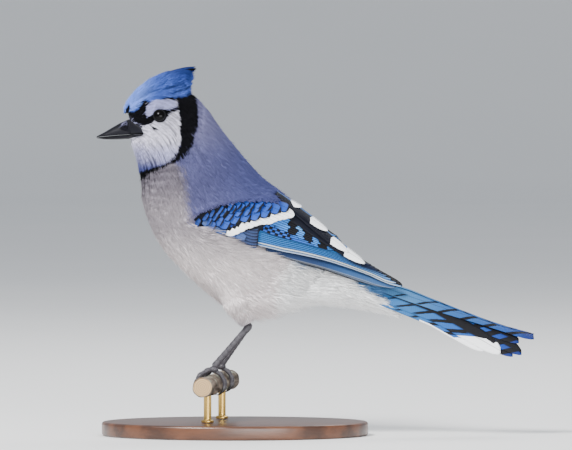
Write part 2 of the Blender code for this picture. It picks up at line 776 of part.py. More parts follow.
def primary_coverts(sheet):
    """The short dark feathers over the roots of the primaries, and the small thumb feathers."""
    tips = spread(*PRIMARY_COVERT_TIPS, len(PRIMARY_COVERT_LIFTS))
    for tip, lifts in zip(tips, PRIMARY_COVERT_LIFTS):
        yield vane(sheet, tip - (17.5, -7.0), tip, 5.4, lifts, 0, 0, 0.5, SHORT_STATIONS)
    for root, tip, lifts in THUMB_FEATHERS:
        yield vane(sheet, root, tip, 3.8, lifts, 0, 0, 0.4, SHORT_STATIONS)


def arm_core(sheet):
    """The folded arm under the coverts, one soft pad."""
    return pad(sheet, ARM_LOWER, ARM_UPPER, 8, 5, ARM_BASE, ARM_HEIGHT)


def make_wings(sheet, materials):
    groups = {
        "wing_primaries": list(primaries(sheet)),
        "wing_secondaries": list(secondaries(sheet)),
        "wing_arm": [arm_core(sheet), *coverts(sheet), *primary_coverts(sheet)],
    }
    for name, pieces in groups.items():
        left = fuse(name + "_left", pieces, materials["wing_feathers"])
        mirrored(left, name + "_right")


# Tail


class Roof:
    """The tail's left slope: a ridge line, and a curve that falls from it ever more steeply."""

    def __init__(self):
        self.ridge = np.array(TAIL_RIDGE)
        self.arc = np.linspace(0, 34, 200)
        pitch = np.radians(26 + 48 * (1 - np.exp(-self.arc / 7.0)))
        step = self.arc[1]
        self.out = 0.7 + np.concatenate(([0], np.cumsum(np.cos(pitch[:-1]) * step)))
        self.down = np.concatenate(([0], np.cumsum(np.sin(pitch[:-1]) * step)))

    def top(self, x):
        return np.interp(x, self.ridge[:, 0], self.ridge[:, 1])

    def spread_at(self, x):
        return np.interp(x, (60.0, 100.0, 150.0), (0.62, 0.85, 1.0))

    def flat(self, x, s):
        """The roof's point at x and at a slope length s from the ridge."""
        if s < 0:
            return np.array((x, -self.out[0] * self.spread_at(x) - s, self.top(x) + 0.1 * s))
        out = np.interp(s, self.arc, self.out) * self.spread_at(x)
        return np.array((x, -out, self.top(x) - np.interp(s, self.arc, self.down)))

    def slope(self, x, z):
        return np.interp(self.top(x) - z, self.down, self.arc)

    def point(self, x, s, lift):
        around = self.flat(x, s + 0.2) - self.flat(x, s - 0.2)
        along = self.flat(x + 1.0, s) - self.flat(x - 1.0, s)
        normal = np.cross(along, -around)
        normal /= np.linalg.norm(normal)
        return self.flat(x, s) + normal * lift, normal


def tail_feather(roof, shaft, outer, inner, lift, ridged=False, across=0.0):
    """One of the tail's feathers on the left side. It may reach across the ridge."""
    (x0, z0), (x1, z1), (x2, z2) = shaft
    middle = (x1 - x0) / (x2 - x0)
    rows = []
    for t in TAIL_STATIONS:
        x = x0 + (x2 - x0) * t
        z = np.interp(t, (0, middle, 1), (z0, z1, z2))
        s = roof.slope(x, z)
        share = outline_share(t, 0.45, 0.84, 1.01)
        row = [roof.point(x, s + outer * share, lift)]
        if ridged:
            row.append(roof.point(x, s, lift + 0.3))
        row.append(roof.point(x, max(s - inner * share, 0.0), lift))
        if across:
            row.append(roof.point(x, -across * share, lift))
        rows.append(row)
    return blade(rows, VANE_THICK)


def make_tail(materials):
    roof = Roof()
    (*shaft, outer, inner, lift), *others = TAIL_FEATHERS
    cross = tail_feather(roof, shaft, outer, inner, lift + 0.35, True, RIDGE_OVERLAP)
    _, under = both_sides(tail_feather(roof, shaft, outer, inner, lift, True))
    feathers = [cross, under]
    for *shaft, outer, inner, lift in others:
        ridged = outer > inner * 0.75
        feathers.extend(both_sides(tail_feather(roof, shaft, outer, inner, lift, ridged)))
    root = tube(TAIL_ROOT, TAIL_ROOT_RADII, 10, 1.9)
    fuse("tail", [root, *feathers], materials["tail_feathers"])


# Legs


def perch_centre(y):
    """The branch's centre line at a distance y from the midline, in millimetres."""
    wave = 0.8 * math.sin(y / 16.0)
    return np.array((PERCH_X / MM + y * math.tan(PERCH_TURN), y, PERCH_Z / MM + wave * 0.6))


def make_thigh(body, sign, materials):
    """The feathered leg above the ankle, cut clear of the belly."""
    top = np.array((THIGH_TOP[0], sign * THIGH_TOP[1], THIGH_TOP[2]))
    end = np.array((ANKLE[0] - 0.8, sign * FOOT_SPREAD, ANKLE[1] + 1.8))
    path = [top + (end - top) * share for share, _ in THIGH_RADII]
    radii = [radius for _, radius in THIGH_RADII]
    name = "thigh_left" if sign < 0 else "thigh_right"
    belly = loft(body, NECK_END, VENT_END, 23, BODY_SIDES, GAP / MM * 1.5)
    fuse(name, [tube(path, radii, 14)], materials["breast_feathers"], [belly])


def foot_root(sign):
    centre = perch_centre(sign * FOOT_SPREAD)
    return centre + (1.5, 0, PERCH_RADIUS / MM + 3.2)


def make_tarsus(sign, materials):
    """The bare shank, with a row of broad plates as steps round it."""
    top = np.array((ANKLE[0], sign * FOOT_SPREAD, ANKLE[1]))
    end = foot_root(sign) + (0.8, 0, 1.9)
    path, radii = [], []
    for k in range(SCUTES):
        for t, swell in ((0.04, 0.0), (0.85, 0.16)):
            share = (k + t) / SCUTES
            path.append(top + (end - top) * share)
            knob = 0.45 * math.exp(-((share - 0.0) ** 2) / 0.006) + 0.25 * share**6
            radii.append(TARSUS_RADIUS + (TARSUS_TOP_RADIUS - TARSUS_RADIUS) * knob + swell)
    name = "tarsus_left" if sign < 0 else "tarsus_right"
    make_object(name, *tube(path, radii, 7), materials["leg_scale"])


def toe_point(sign, toe, turn, lift):
    """A point on a toe's line, which leaves the foot's root and wraps round the branch."""
    aim, _ = TOE_REACH[toe]
    forward = math.cos(math.radians(aim)) >= 0
    slant = math.sin(math.radians(aim)) * sign * -1
    y = sign * FOOT_SPREAD + slant * 7.0 * min(turn / 45.0, 1.0)
    centre = perch_centre(y)
    bend = math.radians(turn)
    reach = PERCH_RADIUS / MM + lift
    way = -1 if forward else 1
    return centre + (way * reach * math.sin(bend), 0, reach * math.cos(bend))


def toe(sign, name):
    """One toe as a knuckled tube, from inside the foot's pad round the branch."""
    _, reach = TOE_REACH[name]
    path, radii = [], []
    steps = 6
    for k in range(steps + 1):
        turn = 2.0 + (reach - 2.0) * k / steps
        radius = TOE_RADIUS * (1.0 - 0.2 * k / steps) * (1.07 if k % 2 else 0.93)
        path.append(toe_point(sign, name, turn, radius + GAP / MM + 0.15 + 0.9 / (k + 1)))
        radii.append(radius)
    return tube(path, radii, 6)


def claw(sign, name):
    """A curved claw that tapers to its point beyond the toe."""
    _, reach = TOE_REACH[name]
    path, radii = [], []
    steps = 4
    for k in range(steps + 1):
        turn = reach + 7.0 + CLAW_TURN * k / steps
        radius = CLAW_RADIUS * (1 - 0.8 * (k / steps) ** 1.2)
        path.append(toe_point(sign, name, turn, radius + 0.5))
        radii.append(radius)
    return tube(path, radii, 6)


def make_foot(sign, materials):
    side = "left" if sign < 0 else "right"
    pad_centre = foot_root(sign) + (0, 0, -0.2)
    pieces = [ball(pad_centre, (2.6, 2.2, 1.9), 10, 7)]
    pieces.extend(toe(sign, name) for name in TOE_REACH)
    fuse("foot_" + side, pieces, materials["leg_scale"])
    for name in TOE_REACH:
        make_object(f"claw_{name}_{side}", *claw(sign, name), materials["bill_horn"])


# Branch and stand


def rod_places():
    return (-ROD_SPACING / 2 / MM, ROD_SPACING / 2 / MM)


def make_perch(materials):
    """A cut length of branch, sawn flat at both ends, with sockets for the rods."""
    ys = np.linspace(PERCH_NEAR / MM, PERCH_FAR / MM, 10)
    radii = [PERCH_RADIUS / MM + 0.1 * math.sin(y / 9.0) - 0.1 for y in ys]
    sockets = []
    for y in rod_places():
        centre = perch_centre(y)
        low = centre - (0, 0, PERCH_RADIUS / MM + 3)
        high = centre - (0, 0, PERCH_RADIUS / MM - ROD_SOCKET / MM)
        sockets.append(tube((low, high), [ROD_RADIUS / MM + GAP / MM] * 2, 12))
    fuse("perch", [tube([perch_centre(y) for y in ys], radii, 14)], materials["branch_bark"],
         sockets)


def make_stand(materials):
    sides = 40
    levels = ((0, 0), (BASE_HEIGHT - BASE_BEVEL, 0), (BASE_HEIGHT, BASE_BEVEL))
    points, faces = [], []
    for height, inset in levels:
        for k in range(sides):
            turn = 2 * math.pi * k / sides
            points.append(
                (
                    (BASE_LENGTH / 2 - inset) / MM * math.cos(turn),
                    (BASE_WIDTH / 2 - inset) / MM * math.sin(turn),
                    height / MM,
                )
            )
    for i in range(len(levels) - 1):
        for k in range(sides):
            a, b = i * sides + k, i * sides + (k + 1) % sides
            faces.append((a, b, b + sides, a + sides))
    faces.append(tuple(range(sides))[::-1])
    faces.append(tuple(range((len(levels) - 1) * sides, len(levels) * sides)))
    make_object("stand_base", points, faces, materials["stand_wood"])
    for name, y in zip(("stand_rod_near", "stand_rod_far"), rod_places()):
        centre = perch_centre(y)
        foot = np.array((centre[0], centre[1], (BASE_HEIGHT + GAP) / MM))
        head = centre - (0, 0, (PERCH_RADIUS - ROD_SOCKET + GAP) / MM)
        collar = ROD_RADIUS / MM + 1.4
        path = (foot, foot + (0, 0, 1.6), foot + (0, 0, 1.7), head)
        radii = (collar, collar, ROD_RADIUS / MM, ROD_RADIUS / MM)
        make_object(name, *tube(path, radii, 14), materials["stand_brass"])


def smooth_all():
    """Round forms are shaded smooth, with sharp edges where faces meet at a real angle."""
    for made in bpy.data.objects:
        made.data.shade_smooth()
        made.data.set_sharp_from_angle(angle=SHARP_ANGLE)


def main():
    clear_scene()
    materials = make_materials()
    body = Form(BODY_RINGS)
    sheet = Form(WING_RINGS)
    make_head(body, materials)
    make_eyes(body, materials)
    make_bill(materials)
    make_trunk(body, materials)
    make_wings(sheet, materials)
    make_tail(materials)
    for sign in (-1, 1):
        make_thigh(body, sign, materials)
        make_tarsus(sign, materials)
        make_foot(sign, materials)
    make_perch(materials)
    make_stand(materials)
    smooth_all()


main()
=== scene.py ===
"""A blue jay at life size on a short cut branch, with plumage laid over its solids.

The bird faces -X and its left side is towards -Y. Tables are in millimetres.
"""

import math

import bpy
import numpy as np
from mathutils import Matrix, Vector


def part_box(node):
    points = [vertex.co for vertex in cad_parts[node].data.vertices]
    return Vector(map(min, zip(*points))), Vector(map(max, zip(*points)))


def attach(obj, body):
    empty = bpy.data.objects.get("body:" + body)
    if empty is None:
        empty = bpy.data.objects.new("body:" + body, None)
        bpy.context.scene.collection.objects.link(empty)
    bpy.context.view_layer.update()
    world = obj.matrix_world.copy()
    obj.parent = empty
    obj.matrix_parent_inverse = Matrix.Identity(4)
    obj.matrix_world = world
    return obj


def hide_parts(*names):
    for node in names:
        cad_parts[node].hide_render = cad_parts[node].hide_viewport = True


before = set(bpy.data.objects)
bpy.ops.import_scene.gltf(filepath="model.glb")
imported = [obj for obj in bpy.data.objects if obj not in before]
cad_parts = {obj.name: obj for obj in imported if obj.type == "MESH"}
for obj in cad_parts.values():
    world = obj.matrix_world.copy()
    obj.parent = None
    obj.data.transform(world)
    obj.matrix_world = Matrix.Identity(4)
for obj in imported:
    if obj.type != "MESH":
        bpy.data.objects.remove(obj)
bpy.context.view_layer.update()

MM = 0.001
BODY = "root"
SEED = 7
SIDES = (("left", -1), ("right", 1))  # with the sign of y on each side

# The body, as rings from the bill's root to the vent: the belly point's x and z, the back point's
# x and z, and half of the width
BODY_RINGS = (
    (-60.0, 168.5, -60.2, 181.5, 5.6),
    (-58.0, 163.5, -60.5, 189.0, 7.8),
    (-56.0, 157.0, -53.0, 196.5, 11.0),
    (-54.5, 150.5, -39.5, 200.0, 16.3),
    (-53.5, 143.5, -26.0, 195.5, 17.3),
    (-53.0, 135.5, -17.0, 187.5, 19.0),
    (-50.5, 126.0, -8.5, 175.5, 21.8),
    (-46.0, 115.0, 2.0, 162.0, 24.6),
    (-39.0, 104.0, 13.5, 149.0, 25.8),
    (-28.0, 93.0, 25.0, 137.0, 25.6),
    (-16.0, 81.5, 34.5, 124.5, 24.6),
    (-1.0, 71.5, 43.0, 113.5, 22.2),
    (15.5, 69.0, 51.0, 102.5, 18.0),
    (30.0, 73.5, 56.8, 90.4, 12.2),
    (45.5, 76.0, 63.8, 82.2, 7.0),
    (62.5, 75.0, 73.0, 77.4, 4.2),
    (80.0, 72.0, 84.0, 73.3, 2.6),
    (94.0, 69.0, 95.3, 69.6, 1.2),
)
HEAD_END = 4.4

# The sheet that the folded wing lies on, in rings of the same kind
WING_RINGS = (
    *BODY_RINGS[5:10],
    (-16.0, 81.5, 35.5, 128.0, 24.8),
    (-1.0, 71.5, 45.5, 119.8, 23.0),
    (15.5, 69.0, 55.5, 112.0, 20.6),
    (30.0, 74.0, 64.5, 104.6, 18.4),
    (44.0, 77.5, 73.0, 98.2, 15.6),
    (57.0, 76.0, 81.0, 93.6, 13.2),
    (70.0, 73.5, 89.6, 91.8, 11.2),
    (82.5, 70.5, 98.4, 88.8, 9.6),
    (95.0, 67.5, 106.6, 85.2, 8.2),
    (110.0, 61.0, 119.0, 80.0, 7.5),
)

# The crest, in rings of the same kind. The last ones only guide the feathers' tips
CREST_RINGS = (
    (-61.2, 180.9, -64.2, 183.3, 3.2),
    (-56.5, 182.5, -60.6, 191.2, 7.5),
    (-50.0, 182.0, -54.0, 198.4, 9.5),
    (-43.0, 183.0, -46.0, 203.7, 9.6),
    (-36.0, 184.0, -37.0, 207.5, 8.8),
    (-30.0, 186.5, -29.0, 209.6, 6.6),
    (-26.0, 190.5, -22.8, 210.1, 3.8),
    (-22.0, 194.0, -17.5, 210.2, 2.0),
)
CREST_CORE_END = 4.9
SKIN_DEPTH = 0.9  # of the skin under the plumage's roots

# Side view of the folded wing, and how far the plumage round it swells to meet it
WING_OUTLINE = (
    (-27, 124), (-20, 129), (-9.7, 132.8), (2, 134.5), (12, 134), (20, 132.5), (28, 129),
    (36, 125), (48, 118.5), (60, 110), (72, 101.5), (84, 94), (96, 86), (80, 87), (60, 93),
    (45, 97.3), (30, 101), (14, 104), (0, 108.8), (-10, 113.5), (-20, 118.5),
)
WING_LINE = ((-27, 124), (96, 86))
SWELL_REACH = 16.0
SWELL_OVER = ((-45, 0), (-27, 5.2), (-10, 6.4), (20, 6.6), (40, 3.5), (60, 1.0))
SWELL_UNDER = ((-45, 0), (-27, 5.2), (-10, 4.8), (5, 4.0), (22, 2.0), (60, 0.6))

# Markings in side view
LORE = (
    (-65.5, 182.6), (-63.5, 183.6), (-61.8, 185.7), (-60.2, 188.9), (-59.7, 186), (-58.6, 184.1),
    (-56.8, 184.8), (-54.8, 187.1), (-53.3, 190.3), (-52.2, 191.1), (-50.9, 190), (-50.4, 187.7),
    (-51.2, 183.6), (-49.8, 181.9), (-47.5, 182.8), (-45.8, 184.2), (-45.6, 179.8),
    (-47.8, 178.4), (-49.3, 177.1), (-51.6, 176.5), (-53.3, 177.5), (-56.8, 178.4),
    (-57.7, 179.9), (-59.7, 181.3), (-62.1, 182), (-65.5, 181.4),
)
BROW = (
    (-51.2, 183.6), (-50.4, 187.7), (-49.3, 188.9), (-48.1, 190.3), (-46.4, 191.4),
    (-43.4, 191.5), (-40.5, 192.1), (-37.6, 191.9), (-34.7, 191.5), (-33.6, 190.6), (-33, 189.2),
    (-32.7, 187.7), (-34.1, 186.8), (-36.5, 186), (-38.8, 185.5), (-40.5, 185.4), (-43.2, 185.4),
    (-45.5, 184.6), (-47.5, 182.8), (-49.8, 181.9),
)
EYE_LINE = (
    (-41.4, 186.2), (-37.6, 186), (-35.3, 186.6), (-33.6, 187.6), (-31.6, 188.4), (-31.2, 186.4),
    (-34.1, 185.1), (-35.9, 184.1), (-37.1, 182.9), (-38.2, 182), (-39.2, 180.8), (-41, 180.2),
)
BROW_EDGE = (
    (-42.5, 192.3), (-39, 193.1), (-35, 193), (-31.5, 194), (-30.5, 190.5), (-33.2, 190.8),
    (-34.7, 191.6), (-37.6, 192), (-40.5, 192.2),
)
BROW_SPOT = ((-50.9, 190), (-49.8, 190.8), (-48.6, 190.4), (-49.4, 188.9), (-50.4, 187.9))
UNDER_EYE = ((-48.9, 177.6), (-47.3, 176.9), (-44.5, 175.3), (-44.6, 174.6), (-47.2, 174.9))
COLLAR = (
    (-33.9, 192.4), (-33, 190.3), (-32.1, 187.4), (-32.1, 185.4), (-31.5, 182.5),
    (-30.4, 179.6), (-30.9, 176.7), (-31.8, 173.8), (-30.7, 170.9), (-30.7, 168.5),
    (-31.2, 166.8), (-32.1, 163.9), (-33.6, 160.9), (-36.2, 158.1), (-38.9, 156.1), (-43, 154.6),
    (-47.7, 153.1), (-52.3, 151.3), (-58, 149.4),
    (-58, 143.2), (-53.2, 145.3), (-50.6, 147.7), (-47.7, 150.3), (-41.8, 152.9),
    (-37.7, 154.6), (-33.1, 156.6), (-29.6, 158.6), (-26.7, 161.2), (-24.8, 165), (-23.1, 167.9),
    (-23.4, 170.5), (-21.9, 175.2), (-20.8, 179.6), (-21.1, 184.5), (-21.6, 191.8),
    (-23.1, 196), (-27.9, 201),
)
FACE_END = (
    (-66, 195), (-30, 195), (-30, 169.3), (-34.3, 160.5), (-41, 154.5), (-52.3, 150.5), (-66, 149),
)
CAPE_EDGE = ((-34.6, 156.5), (-30.3, 153), (-28.6, 149), (-28, 143.5), (-27.2, 134), (-24, 124))
WHITE_TOP = (
    (31, 97.5), (42, 97.3), (51, 95.1), (60, 91.6), (68, 87.1), (77, 81.4), (88, 74.5), (95, 70),
)
# The crest's blue ends over this line
CREST_LOW = (
    (-62, 183.4), (-58.6, 184), (-56.8, 184.5), (-54.8, 186.8), (-53.3, 189.8), (-51.5, 190.3),
    (-49.3, 188.8), (-46.4, 191.2), (-40.5, 192), (-34, 192.2), (-28.5, 193.3), (-26, 195), (-23, 199),
)
# Painted shade in a notch where the crest's top splits near its tip
CREST_NOTCH_SHADE = ((-31, 208), (-27.6, 209), (-22.5, 209), (-22.5, 207.5), (-28, 207.3))
CREST_END = -23.6
WHITE_FROM = ((34, 112), (31, 100), (27, 92), (24, 84), (22, 60))

# The bill: distance from the root to the tip, heights of the culmen, the mouth's line and the
# keel, and half of the upper bill's width
BILL_ROOT = -60.6
BILL_ROWS = (
    (0.0, 180.0, 171.6, 169.2, 5.2),
    (5.0, 177.9, 171.2, 168.9, 4.5),
    (9.5, 175.3, 170.9, 168.8, 3.7),
    (13.5, 172.9, 170.5, 168.9, 2.7),
    (16.5, 171.3, 170.2, 169.3, 1.6),
    (18.4, 170.4, 169.9, 169.6, 0.6),
)

# The horn behind the bill's root, back to the corner of the mouth
BILL_CORNER = (
    (-9.0, 171.8, 171.6, 171.4, 6.0), (-7.4, 175.6, 171.6, 171.0, 6.0),
    (-6.0, 177.2, 171.6, 170.6, 6.0), (-3.0, 179.0, 171.7, 170.0, 6.0),
)
BILL_PATCH = (
    (-66, 178.6), (-60, 178), (-56, 176.4), (-53.8, 175), (-53.4, 173.6), (-51.8, 171.2),
    (-57.4, 169.9), (-62, 168),
)
# The bristly feathers over the bill's root
NASAL = (
    (-65.5, 181.4), (-62.1, 182), (-59.7, 181.3), (-57.7, 179.9), (-56.8, 178.4), (-53.3, 177.5),
    (-52.4, 176), (-53.2, 174), (-56, 175.6), (-60, 177), (-65.5, 177.6),
)

EYE_X, EYE_Z, EYE_RADIUS, EYE_PROUD = -42.7, 182.6, 4.2, 1.8
EYE_OPENING = 3.3  # radius without plumage round the eye
LID_RADIUS, LID_WIDTH = 3.25, 0.75

# Light and camera
PICTURE_CENTRE = (29.1, 0.0, 120.0)
PICTURE_WIDTH = 326.0  # of the plane through the bird's middle, in millimetres
CAMERA_DISTANCE = 4.0
CAMERA_RISE = math.radians(1.5)
SENSOR = 36.0


def srgb(red, green, blue):
    """A colour as it is seen, from 0 to 255, as the linear colour that materials take."""
    seen = np.array((red, green, blue)) / 255.0
    linear = np.where(seen <= 0.04045, seen / 12.92, ((seen + 0.055) / 1.055) ** 2.4)
    return (*(float(c) for c in linear), 1.0)


BLACK = srgb(12, 12, 17)
CREST_BLUE, CREST_LIGHT, CREST_DEEP = srgb(76, 103, 190), srgb(113, 144, 222), srgb(30, 48, 120)
BROW_WHITE, CHEEK_WHITE, THROAT_WHITE = srgb(170, 172, 214), srgb(230, 227, 244), srgb(176, 176, 212)
# A blue tint low on the throat, darkened by painted shade just above the collar
THROAT_BLUE_SHADE = srgb(76, 82, 142)
NASAL_DARK, NASAL_GREY = srgb(24, 24, 30), srgb(84, 84, 100)
NAPE, CAPE, CAPE_DEEP = srgb(120, 119, 156), srgb(95, 96, 139), srgb(84, 91, 148)
BREAST, BREAST_LOW, BELLY = srgb(119, 113, 124), srgb(172, 164, 171), srgb(242, 233, 233)
REAR_BLUE = srgb(76, 120, 168)
VENT_WHITE = srgb(255, 255, 255)
THIGH_LOW = srgb(176, 170, 182)


# Shading


def operator(operation, turned=False):
    """A sum or product of two values as a Math node, with the terms turned round or not."""

    def run(self, other):
        return self.math(operation, *((other, self) if turned else (self, other)))

    return run


class Value:
    """What a node gives at each point of a surface. Sums and products add Math nodes."""

    __add__, __radd__ = operator("ADD"), operator("ADD", True)
    __sub__, __rsub__ = operator("SUBTRACT"), operator("SUBTRACT", True)
    __mul__, __rmul__ = operator("MULTIPLY"), operator("MULTIPLY", True)
    __truediv__, __mod__, __pow__ = operator("DIVIDE"), operator("FLOORED_MODULO"), operator("POWER")

    def __init__(self, finish, socket):
        self.finish = finish
        self.socket = socket

    def math(self, operation, *terms):
        sockets = dict(enumerate(terms))
        return self.finish.add("ShaderNodeMath", {"operation": operation}, sockets)

    def __abs__(self):
        return self.math("ABSOLUTE", self)

    def sine(self):
        return self.math("SINE", self)

    def step(self, low, high):
        """0 below low, 1 above high, and smooth in between. It falls where low is above high."""
        sockets = {"Value": self, "From Min": low, "From Max": high}
        settings = {"interpolation_type": "SMOOTHSTEP"}
        return self.finish.add("ShaderNodeMapRange", settings, sockets)


class Finish:
    """A material whose nodes are added one by one. Plain settings go on the shader's own sockets."""

    def __init__(self, name, roughness, **settings):
        self.material = bpy.data.materials.new(name)
        self.material.use_nodes = True
        self.tree = self.material.node_tree
        self.shader = self.tree.nodes["Principled BSDF"]
        self.shader.inputs["Roughness"].default_value = roughness
        for socket, value in settings.items():
            self.shader.inputs[socket.replace("_", " ")].default_value = value

    def feed(self, socket, value):
        if isinstance(value, Value):
            self.tree.links.new(value.socket, socket)
        else:
            socket.default_value = value

    def add(self, kind, settings=None, sockets=None, output=0):
        node = self.tree.nodes.new(kind)
        for name, value in (settings or {}).items():
            setattr(node, name, value)
        for name, value in (sockets or {}).items():
            self.feed(node.inputs[name], value)
        return Value(self, node.outputs[output])

    def position(self):
        return self.add("ShaderNodeTexCoord", output=3)

    def attribute(self, name, output=0):
        return self.add("ShaderNodeAttribute", {"attribute_name": name}, output=output)

    def parts(self, vector):
        """The three numbers of a vector."""
        first = self.add("ShaderNodeSeparateXYZ", sockets={0: vector})
        outputs = first.socket.node.outputs
        return first, Value(self, outputs[1]), Value(self, outputs[2])

    def noise(self, scale, detail=2.0, vector=None):
        sockets = {"Scale": scale, "Detail": detail, "Vector": vector or self.position()}
        return self.add("ShaderNodeTexNoise", sockets=sockets)

    def stretch(self, vector, scale):
        return self.add("ShaderNodeMapping", sockets={"Vector": vector, "Scale": scale})

    def mix(self, share, first, second):
        sockets = {0: share, 6: first, 7: second}
        return self.add("ShaderNodeMix", {"data_type": "RGBA"}, sockets, 2)

    def shade(self, colour, by):
        """A colour made lighter or darker by a number round 1."""
        sockets = {0: colour, "Scale": by}
        return self.add("ShaderNodeVectorMath", {"operation": "SCALE"}, sockets)

    def bump(self, height, distance, strength=1.0):
        sockets = {"Height": height, "Distance": distance, "Strength": strength}
        self.feed(self.shader.inputs["Normal"], self.add("ShaderNodeBump", sockets=sockets))

    def colour(self, value):
        self.feed(self.shader.inputs["Base Color"], value)

    def mottle(self, scale, detail, first, second):
        """Colours the finish in soft patches of two colours, and gives the patches."""
        patches = self.noise(scale, detail)
        self.colour(self.mix(patches, first, second))
        return patches


# Forms


class Form:
    """A smooth form through rings. Angle 0 is the back, and angles up to pi are the left side."""

    def __init__(self, rings):
        self.rings = np.array(rings, float)
        self.last = len(rings) - 1
        self.grid = np.linspace(0, self.last, self.last * 30 + 1)
        self.samples = self.ring(self.grid)
        self.axes = self.samples[:, 2:4] - self.samples[:, 0:2]
        self.middles = (self.samples[:, 0:2] + self.samples[:, 2:4]) / 2

    def ring(self, r):
        """Belly x and z, back x and z, and half width at r, by a Catmull-Rom curve."""
        r = np.clip(r, 0.0, self.last)
        i = np.minimum(r.astype(int), self.last - 1)
        t = (r - i)[..., None]
        before, here, after, beyond = (
            self.rings[np.clip(i + k, 0, self.last)] for k in (-1, 0, 1, 2)
        )
        return 0.5 * (
            2 * here
            + (after - before) * t
            + (2 * before - 5 * here + 4 * after - beyond) * t**2
            + (3 * here - before - 3 * after + beyond) * t**3
        )

    def surface(self, r, angle):
        ring = self.ring(r)
        up, out = np.cos(angle), np.sin(angle)
        x = (ring[..., 0] + ring[..., 2]) / 2 + (ring[..., 2] - ring[..., 0]) / 2 * up
        z = (ring[..., 1] + ring[..., 3]) / 2 + (ring[..., 3] - ring[..., 1]) / 2 * up
        return np.stack((x, -ring[..., 4] * out, z), -1)

    def middle(self, r):
        ring = self.ring(r)
        x, z = (ring[:, 0] + ring[:, 2]) / 2, (ring[:, 1] + ring[:, 3]) / 2
        return np.stack((x, np.zeros(len(r)), z), 1)

    def slopes(self, r, angle):
        """How the surface moves for one ring along, and for one radian round."""
        r = np.clip(r, 0, self.last)
        low, high = np.clip(r - 0.05, 0, self.last), np.clip(r + 0.05, 0, self.last)
        along = (self.surface(high, angle) - self.surface(low, angle)) / (high - low)[..., None]
        around = (self.surface(r, angle + 0.02) - self.surface(r, angle - 0.02)) / 0.04
        return along, around

    def normal(self, r, angle):
        along, around = self.slopes(r, angle)
        return unit(np.cross(around, along))

    def place(self, points):
        """The rings and the angles that points in space lie at."""
        flat = points.reshape(-1, 3)
        s, axis = self.samples, self.axes
        past = axis[:, 0] * (flat[:, 2, None] - s[:, 1]) - axis[:, 1] * (flat[:, 0, None] - s[:, 0])
        turned = (past[:, :-1] <= 0) != (past[:, 1:] <= 0)
        off = np.hypot(
            self.middles[:-1, 0] - flat[:, 0, None], self.middles[:-1, 1] - flat[:, 2, None]
        )
        k = np.argmin(np.where(turned, off, 1e6), axis=1)
        row = np.arange(len(flat))
        here, after = past[row, k], past[row, k + 1]
        share = np.clip(here / (here - after + 1e-12), 0, 1)
        r = self.grid[k] + (self.grid[1] - self.grid[0]) * share
        ring = self.ring(r)
        ux, uz = (ring[:, 2] - ring[:, 0]) / 2, (ring[:, 3] - ring[:, 1]) / 2
        dx = flat[:, 0] - (ring[:, 0] + ring[:, 2]) / 2
        dz = flat[:, 2] - (ring[:, 1] + ring[:, 3]) / 2
        up = (dx * ux + dz * uz) / (ux * ux + uz * uz)
        out = -flat[:, 1] / ring[:, 4]
        return r.reshape(points.shape[:-1]), np.stack((up, out), -1).reshape(*points.shape[:-1], 2)

    def side(self, x, z):
        """Ring and angle of the left side's points that are seen at x and z from the side."""
        points = np.stack((x, np.zeros_like(x), z), -1)
        r, turn = self.place(points)
        return r, np.arccos(np.clip(turn[..., 0], -0.995, 0.995))


def unit(vectors):
    return vectors / (np.linalg.norm(vectors, axis=-1, keepdims=True) + 1e-9)


def inside(outline, x, z):
    """Whether points are inside an outline, in side view."""
    hit = np.zeros(np.shape(x), bool)
    for (x0, z0), (x1, z1) in zip(outline, outline[1:] + outline[:1]):
        crosses = (z0 > z) != (z1 > z)
        hit ^= crosses & (x < x0 + (x1 - x0) * (z - z0) / (z1 - z0 + 1e-9))
    return hit


def distance(line, x, z, closed=True):
    """How far points are from a line or an outline, in side view."""
    best = np.full(np.shape(x), 1e6)
    pairs = zip(line, line[1:] + line[:1]) if closed else zip(line, line[1:])
    for (x0, z0), (x1, z1) in pairs:
        dx, dz = x1 - x0, z1 - z0
        share = np.clip(((x - x0) * dx + (z - z0) * dz) / (dx * dx + dz * dz), 0, 1)
        best = np.minimum(best, np.hypot(x - x0 - share * dx, z - z0 - share * dz))
    return best


def along_table(table, value):
    return np.interp(value, [row[0] for row in table], [row[1] for row in table])


def line_x(line, z):
    """The x of a line at heights z. The line runs downwards."""
    return along_table([(low, x) for x, low in line[::-1]], z)


def wing_distance(x, z):
    """Distance from the folded wing's edge, negative on the wing."""
    return distance(WING_OUTLINE, x, z) * np.where(inside(WING_OUTLINE, x, z), -1, 1)


def swell(x, z, skin=False):
    """How far the plumage stands off the body's form to meet the folded wing's edges."""
    off = wing_distance(x, z)
    middle = along_table(WING_LINE, x)
    full = np.where(z > middle, along_table(SWELL_OVER, x), along_table(SWELL_UNDER, x))
    share = np.clip(1 - off / SWELL_REACH, 0, 1) ** 2
    share = np.where(off < 0, 1.0, share)
    if skin:
        under_wing = np.interp(x, (-27, 2, 10), (3.4, 3.2, 0.0))
        sunk = np.clip(-off / 3.0, 0, 1)
        return full * share * 0.9 * (1 - sunk) + np.minimum(under_wing, full) * sunk
    return full * share


def thigh_distance(points):
    """Signed distance of points from the nearer thigh's surface."""
    ends = thigh_ends(1)
    points = points.copy()
    points[..., 1] = np.abs(points[..., 1])
    axis = ends[1] - ends[0]
    share = np.clip((points - ends[0]) @ axis / (axis @ axis), 0, 1)
    off = np.linalg.norm(points - ends[0] - share[..., None] * axis, axis=-1)
    return off - along_table(THIGH_RADII, share)


def thigh_swell(points):
    """How far the belly's plumage rises to pass smoothly over the thighs."""
    off = thigh_distance(points)
    near = np.clip(THIGH_BLEND - np.abs(off), 0, None) / THIGH_BLEND
    return np.clip(-off, 0, None) + near**2 * THIGH_BLEND / 4


# Meshes


